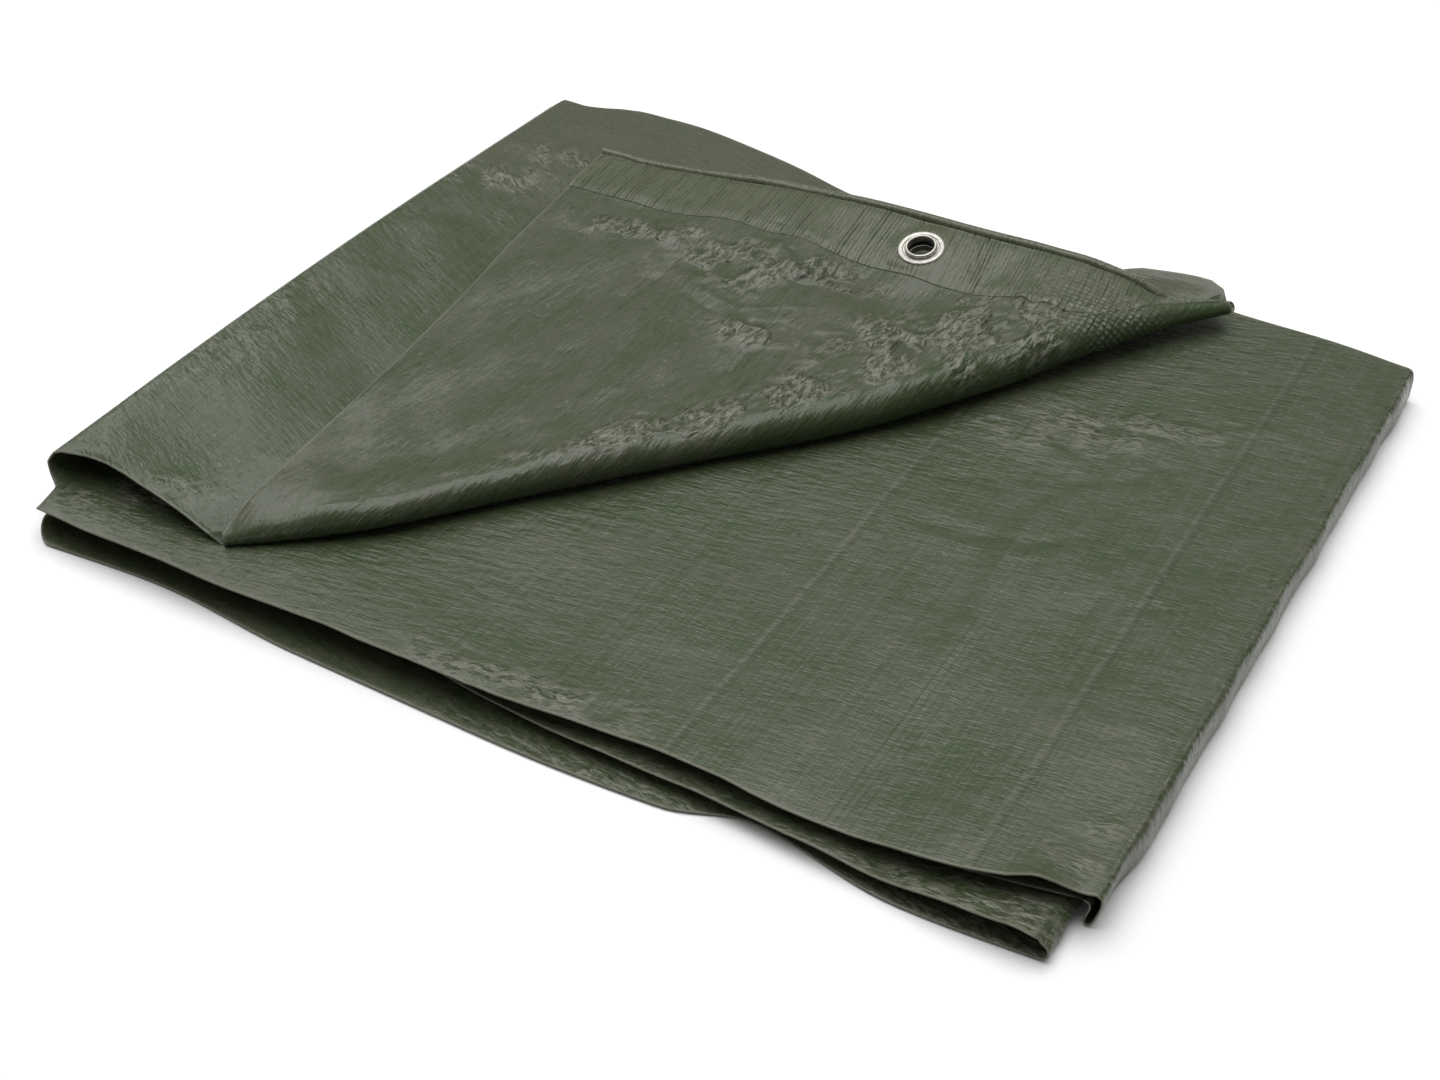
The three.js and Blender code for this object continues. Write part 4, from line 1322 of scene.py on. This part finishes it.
def flap_relief(x, y, row, laid):
    """Height of the creases and crumples of the flap and its hem, and a mask of the crumpled places."""
    rough, spots = crumple(x, y, FLAP_SPOTS, SEED["flap crumples"])
    fine = 0.3 * facets(x, y, SEED["flap facets"], (10, 34), 0.1, 0.4)
    slow = 0.75 * waves(x, y, SEED["flap waves"], (30, 110), 0.1, 0.8, 16)
    calm = smooth(11, 16, np.hypot(x - EYELET_SPOT[0], y - EYELET_SPOT[1]))
    total = (1.4 * rough + fine + 1.8 * creases(x, y, FLAP_CREASES)) * calm + slow * calm
    total = total * smooth(0, 0.012, row)
    return np.where(total < 0, total * (1 - 0.6 * laid), total), spots


def cut_area(lengths):
    """Area in square metres of the flap's flat cut: its strips beyond the fold, and half the roll."""
    row = np.linspace(0, 1, len(lengths))
    axis_x, axis_y, radius = roll_axis(row)
    step_x, step_y = np.gradient(axis_x), np.gradient(axis_y)
    middle = edge_points(row)
    across = np.abs(step_x * (middle[:, 1] - axis_y) - step_y * (middle[:, 0] - axis_x))
    fold = np.hypot(step_x, step_y) * math.pi * radius
    return float((across * lengths / flap_length(row) + fold).sum()) * MM * MM


def flap_frames(row, inset):
    """Place on the flap, its upward normal and its outward direction, for each row and inset."""
    middle = flap_inset(row, inset)
    outer = flap_inset(row, np.maximum(inset - 1, 0.01))
    inner = flap_inset(row, inset + 1)
    outward = unit(outer - inner)
    across = np.gradient(middle, axis=1)
    normal = unit(np.cross(across, -outward))
    normal *= np.sign(normal[..., 2:3])
    return middle, normal, outward


class TARP_OT_hem(bpy.types.Operator):
    """Builds the hem band folded round the flap's free edge, with holes for the eyelets"""
    bl_idname = "tarp.hem"
    bl_label = "Hem Band"

    def execute(self, context):
        sheet = context.scene.tarp_sheet
        hem = context.scene.tarp_hem
        eyelet = context.scene.tarp_eyelets
        row = spread_rows(HEM_ROWS, HEM_SPAN)[None, :]
        width = np.minimum(hem.width / MM, np.maximum(4, flap_length(row) - HEM_MARGIN))
        bead = hem.bead / MM * (1 + 0.05 * kinks(row * HEM_SPAN, SEED["bead"], 9))
        half = sheet.thickness / MM / 2
        ply = np.linspace(0, 1, HEM_STEPS)[:, None]
        inset = lerp(width, 2 * bead + half + 0.5, ply)
        middle, normal, _ = flap_frames(row, inset)
        far = np.hypot(middle[..., 0] - EYELET_SPOT[0], middle[..., 1] - EYELET_SPOT[1])
        seat = 1 - smooth(11, 18, far)
        base = lerp(HEM_EDGE, HEM_FLAT, smooth(0, 0.2, ply)) - 0.45 * smooth(0.86, 1, ply)
        offset = lerp(base, HEM_OFFSET, seat * smooth(0, 0.16, ply))[..., None]
        mx, my = middle[..., 0], middle[..., 1]
        total, spots = flap_relief(mx, my, row, flap_laid(row, 1 - inset / flap_length(row)))
        raised = (total * (1 - 0.7 * smooth(0.1, 0.9, ply)))[..., None]
        upper = middle + normal * (offset + raised)
        lower = middle + normal * (raised - offset)
        angle = np.radians(np.linspace(BEAD_TURN, -BEAD_TURN, BEAD_STEPS))[:, None]
        centre, up, out = flap_frames(row, bead + half)
        turn = centre + bead[..., None] * (up * np.sin(angle)[..., None] + out * np.cos(angle)[..., None])
        grid = concat(upper, turn, lower[::-1])
        x, y = grid[..., 0], grid[..., 1]
        taut = spot_mask(x, y, HEM_SPOT)
        mark = np.full(x.shape, 0.3)
        mark[:len(ply)] = np.minimum(0.05 + 2 * spots, 1) * (1 - 0.7 * taut[:len(ply)])
        flat = np.ones(x.shape)
        flat[len(ply):len(ply) + len(angle)] = 0
        # The hem's tone mark of 0.5 paints it paler, as painted light
        marks = dict(
            crumple=mark, taut=taut, grain=FLAP_GRAIN, flat=flat * (1 - 0.8 * taut), ruffle=0.4, tone=0.5)
        thin = lerp(0.00012, sheet.thickness, smooth(0, 0.16, ply[:, 0]))
        thickness = np.concatenate([thin, np.full(len(angle), sheet.thickness), thin[::-1]])
        made = sheet_mesh("hem_band", grid, flap_weave(x, y), marks, thickness)
        cut_hole(made, eyelet.bore + 0.001)
        finish_piece(made, film_for(HEM_FILM), "hem_strip", slot="hem")
        return {"FINISHED"}


def eyelet_matrix(side):
    """Place of one eyelet on its ply of the hem, its washer on the side given, in metres."""
    normal = Vector((-TILT_X, -TILT_Y, 1)).normalized()
    spot = Vector((EYELET_SPOT + CORNER) * MM) + normal * (side * HEM_OFFSET * MM)
    turn = Vector((0, 0, 1)).rotation_difference(normal * side)
    return Matrix.Translation(spot) @ turn.to_matrix().to_4x4()


def cut_hole(piece, radius):
    """Cuts the eyelets' hole through both plies of the hem."""
    drill_mesh = bpy.data.meshes.new("hole_cutter")
    shape = bmesh.new()
    bmesh.ops.create_cone(
        shape, cap_ends=True, segments=64, radius1=radius, radius2=radius, depth=0.02)
    shape.transform(eyelet_matrix(1))
    shape.to_mesh(drill_mesh)
    shape.free()
    drill = bpy.data.objects.new("hole_cutter", drill_mesh)
    bpy.context.scene.collection.objects.link(drill)
    cut = piece.modifiers.new("Hole", "BOOLEAN")
    cut.operation = "DIFFERENCE"
    cut.solver = "EXACT"
    cut.object = drill
    graph = bpy.context.evaluated_depsgraph_get()
    done = bpy.data.meshes.new_from_object(piece.evaluated_get(graph))
    piece.modifiers.clear()
    old = piece.data
    piece.data = done
    bpy.data.meshes.remove(old)
    done.name = piece.name
    bpy.data.objects.remove(drill)
    bpy.data.meshes.remove(drill_mesh)


def ring_tree():
    """Sweeps a closed outline round a circle and sets it in its place."""
    tree = bpy.data.node_groups.new("Eyelet Ring", "GeometryNodeTree")
    tree.interface.new_socket("Geometry", in_out="INPUT", socket_type="NodeSocketGeometry")
    for key, kind in (
        ("Bore Radius", "NodeSocketFloat"), ("Segments", "NodeSocketInt"),
        ("Place", "NodeSocketVector"), ("Turn", "NodeSocketRotation"), ("Finish", "NodeSocketMaterial"),
    ):
        tree.interface.new_socket(key, in_out="INPUT", socket_type=kind)
    tree.interface.new_socket("Geometry", in_out="OUTPUT", socket_type="NodeSocketGeometry")
    source = tree.nodes.new("NodeGroupInput")
    result = tree.nodes.new("NodeGroupOutput")
    outline = put(tree, "GeometryNodeMeshToCurve", {"Mesh": source.outputs["Geometry"]})
    circle = put(tree, "GeometryNodeCurvePrimitiveCircle", {
        "Resolution": source.outputs["Segments"], "Radius": source.outputs["Bore Radius"]})
    swept = put(tree, "GeometryNodeCurveToMesh", {
        "Curve": circle.outputs["Curve"], "Profile Curve": outline.outputs["Curve"]})
    smoothed = put(tree, "GeometryNodeSetShadeSmooth", {"Geometry": swept.outputs["Mesh"]})
    placed = put(tree, "GeometryNodeTransform", {
        "Geometry": smoothed.outputs[0], "Translation": source.outputs["Place"],
        "Rotation": source.outputs["Turn"]})
    real = put(tree, "GeometryNodeRealizeInstances", {"Geometry": placed.outputs[0]})
    painted = put(tree, "GeometryNodeSetMaterial", {
        "Geometry": real.outputs[0], "Material": source.outputs["Finish"]})
    feed(tree, result.inputs["Geometry"], painted.outputs[0])
    return tree


def round_corners(points, size, steps=4):
    """Outline with each corner cut into a short arc."""
    points = [np.array(p, float) for p in points]
    made = []
    for before, corner, after in zip(points[-1:] + points[:-1], points, points[1:] + points[:1]):
        start, end = before - corner, after - corner
        room = min(size, np.linalg.norm(start) * 0.45, np.linalg.norm(end) * 0.45)
        start = corner + unit(start) * room
        end = corner + unit(end) * room
        for step in range(steps + 1):
            share = step / steps
            made.append(start * (1 - share) ** 2 + corner * 2 * share * (1 - share) + end * share ** 2)
    return made


def ring_piece(name, tree, profile, side, material):
    """One ring of an eyelet from its outline, given as distances in mm from the bore and the ply."""
    eyelet = bpy.context.scene.tarp_eyelets
    points = [(float(p[0]) * MM, -float(p[1]) * MM, 0) for p in profile]
    edges = [(index, (index + 1) % len(points)) for index in range(len(points))]
    mesh = bpy.data.meshes.new(name + "_outline")
    mesh.from_pydata(points, edges, [])
    made = bpy.data.objects.new(name, mesh)
    bpy.context.scene.collection.objects.link(made)
    matrix = eyelet_matrix(side)
    values = {
        "Bore Radius": eyelet.bore, "Segments": eyelet.segments, "Place": matrix.translation,
        "Turn": matrix.to_euler(), "Finish": material,
    }
    sweep = made.modifiers.new("Ring", "NODES")
    sweep.node_group = tree
    for item in tree.interface.items_tree:
        if item.item_type == "SOCKET" and item.in_out == "INPUT" and item.name in values:
            sweep[item.identifier] = values[item.name]
    graph = bpy.context.evaluated_depsgraph_get()
    done = bpy.data.meshes.new_from_object(made.evaluated_get(graph))
    made.modifiers.clear()
    made.data = done
    bpy.data.meshes.remove(mesh)
    done.name = name
    shape = bmesh.new()
    shape.from_mesh(done)
    bmesh.ops.remove_doubles(shape, verts=shape.verts, dist=1e-7)
    bmesh.ops.recalc_face_normals(shape, faces=shape.faces)
    shape.to_mesh(done)
    shape.free()
    return made


class TARP_OT_eyelets(bpy.types.Operator):
    """Builds the two eyelets, each a flanged barrel with a rolled lip and a washer"""
    bl_idname = "tarp.eyelets"
    bl_label = "Eyelets"

    def execute(self, context):
        eyelet = context.scene.tarp_eyelets
        bore, flange, lip = (size / MM for size in (eyelet.bore, eyelet.flange, eyelet.lip))
        half = context.scene.tarp_sheet.thickness / MM / 2
        material = metal_material()
        tree = ring_tree()
        wall = 0.55
        foot = half + 0.12
        washer = round_corners([
            (wall + 0.2, foot), (flange - bore, foot - 0.1), (flange - bore, foot + 0.2),
            (flange - bore - 0.7, foot + 0.8), (lip - bore + 1.1, foot + 0.7), (lip - bore + 1, foot + 0.2),
            (wall + 0.2, foot + 0.2),
        ], 0.35)
        crown = foot + 2
        barrel = round_corners([
            (0, -foot - 0.55), (flange - bore - 0.2, -foot - 0.5), (flange - bore - 0.2, -foot),
            (wall, -foot), (wall, foot + 0.4), (wall + 0.2, foot + 0.5), (lip - bore, foot + 0.35),
            (lip - bore, crown - 0.5), (lip - bore - 0.4, crown), (0.4, crown), (0, crown - 0.5),
        ], 0.4)
        for side, word in ((1, "upper"), (-1, "lower")):
            for kind, outline in (("barrel", barrel), ("washer", washer)):
                name = "eyelet_" + kind + "_" + word
                made = ring_piece(name + "_ring", tree, outline, side, material)
                finish_piece(made, material, name, slot="eyelet")
        return {"FINISHED"}


class TARP_OT_stage(bpy.types.Operator):
    """Builds the floor, the soft lights, the surround and the camera"""
    bl_idname = "tarp.stage"
    bl_label = "Stage"

    def execute(self, context):
        stage = context.scene.tarp_stage
        scene = context.scene
        mesh = bpy.data.meshes.new("floor")
        corners = [(-1, -1), (1, -1), (1, 1), (-1, 1)]
        mesh.from_pydata(
            [(x * FLOOR_REACH, y * FLOOR_REACH, FLOOR_LEVEL) for x, y in corners], [], [(0, 1, 2, 3)])
        floor = bpy.data.objects.new("floor", mesh)
        scene.collection.objects.link(floor)
        material, _, shader = new_material("Pale Floor")
        shader.inputs["Base Color"].default_value = (*stage.floor_colour, 1)
        shader.inputs["Roughness"].default_value = 0.7
        mesh.materials.append(material)

        world = bpy.data.worlds.new("White Surround")
        world.use_nodes = True
        sky = world.node_tree
        place = put(sky, "ShaderNodeTexCoord").outputs["Generated"]
        back = put(sky, "ShaderNodeVectorMath", {0: place, 1: (-0.5, 0.86, 0.0)}, operation="DOT_PRODUCT")
        up = split(sky, place)[2]
        level = ramp(sky, up, 0.12, 0.85, stage.sky * 0.15, stage.sky * 1.5)
        level = times(sky, level, ramp(sky, back.outputs["Value"], -0.7, 0.7, 0.5, 1.25))
        feed(sky, sky.nodes["Background"].inputs["Strength"], level)
        sky.nodes["Background"].inputs["Color"].default_value = (1, 1, 1, 1)
        scene.world = world
        scene.view_settings.view_transform = "Standard"
        for name, power, width, place in (
            ("Softbox", stage.box_power, 2.0, (-0.15, 0.2, 1.8)),
            ("Key Light", stage.key_power, 0.6, (-1.3, 0.5, 0.9)),
        ):
            light = bpy.data.lights.new(name, "AREA")
            light.energy = power
            light.size = width
            lamp = bpy.data.objects.new(name, light)
            lamp.location = place
            lamp.rotation_euler = (-Vector(place)).to_track_quat("-Z", "Y").to_euler()
            scene.collection.objects.link(lamp)

        lens = bpy.data.cameras.new("Camera")
        lens.lens = CAMERA_LENS
        lens.sensor_width = CAMERA_SENSOR
        lens.clip_end = 20
        camera = bpy.data.objects.new("Camera", lens)
        camera.location = CAMERA_PLACE
        camera.rotation_euler = CAMERA_TURN
        scene.collection.objects.link(camera)
        scene.camera = camera
        return {"FINISHED"}


class TARP_PT_parts(bpy.types.Panel):
    """Lists the sizes, colours and building steps of the tarpaulin"""
    bl_label = "Folded Tarpaulin"
    bl_idname = "TARP_PT_parts"
    bl_space_type = "VIEW_3D"
    bl_region_type = "UI"
    bl_category = "Tarpaulin"

    def draw(self, context):
        layout = self.layout
        for name, _ in SETTINGS:
            group = getattr(context.scene, name)
            box = layout.box()
            for key in group.__annotations__:
                box.prop(group, key)
        for step in STEPS:
            layout.operator(step.bl_idname)


SETTINGS = (
    ("tarp_sheet", TarpSheetSettings),
    ("tarp_hem", TarpHemSettings),
    ("tarp_eyelets", TarpEyeletSettings),
    ("tarp_stage", TarpStageSettings),
)
STEPS = (
    TARP_OT_stage, TARP_OT_lower_plies, TARP_OT_top_ply, TARP_OT_flap, TARP_OT_hem, TARP_OT_eyelets,
)


def register():
    for name, group in SETTINGS:
        bpy.utils.register_class(group)
        setattr(bpy.types.Scene, name, PointerProperty(type=group))
    for item in (*STEPS, TARP_PT_parts):
        bpy.utils.register_class(item)


def unregister():
    for item in (TARP_PT_parts, *reversed(STEPS)):
        bpy.utils.unregister_class(item)
    for name, group in reversed(SETTINGS):
        delattr(bpy.types.Scene, name)
        bpy.utils.unregister_class(group)


def main():
    register()
    for group in (weave_group, streak_group, rib_group, crinkle_group, fold_line_group):
        group()
    bpy.ops.tarp.stage()
    bpy.ops.tarp.lower_plies()
    bpy.ops.tarp.top_ply()
    bpy.ops.tarp.flap()
    bpy.ops.tarp.hem()
    bpy.ops.tarp.eyelets()


if __name__ == "__main__":
    main()
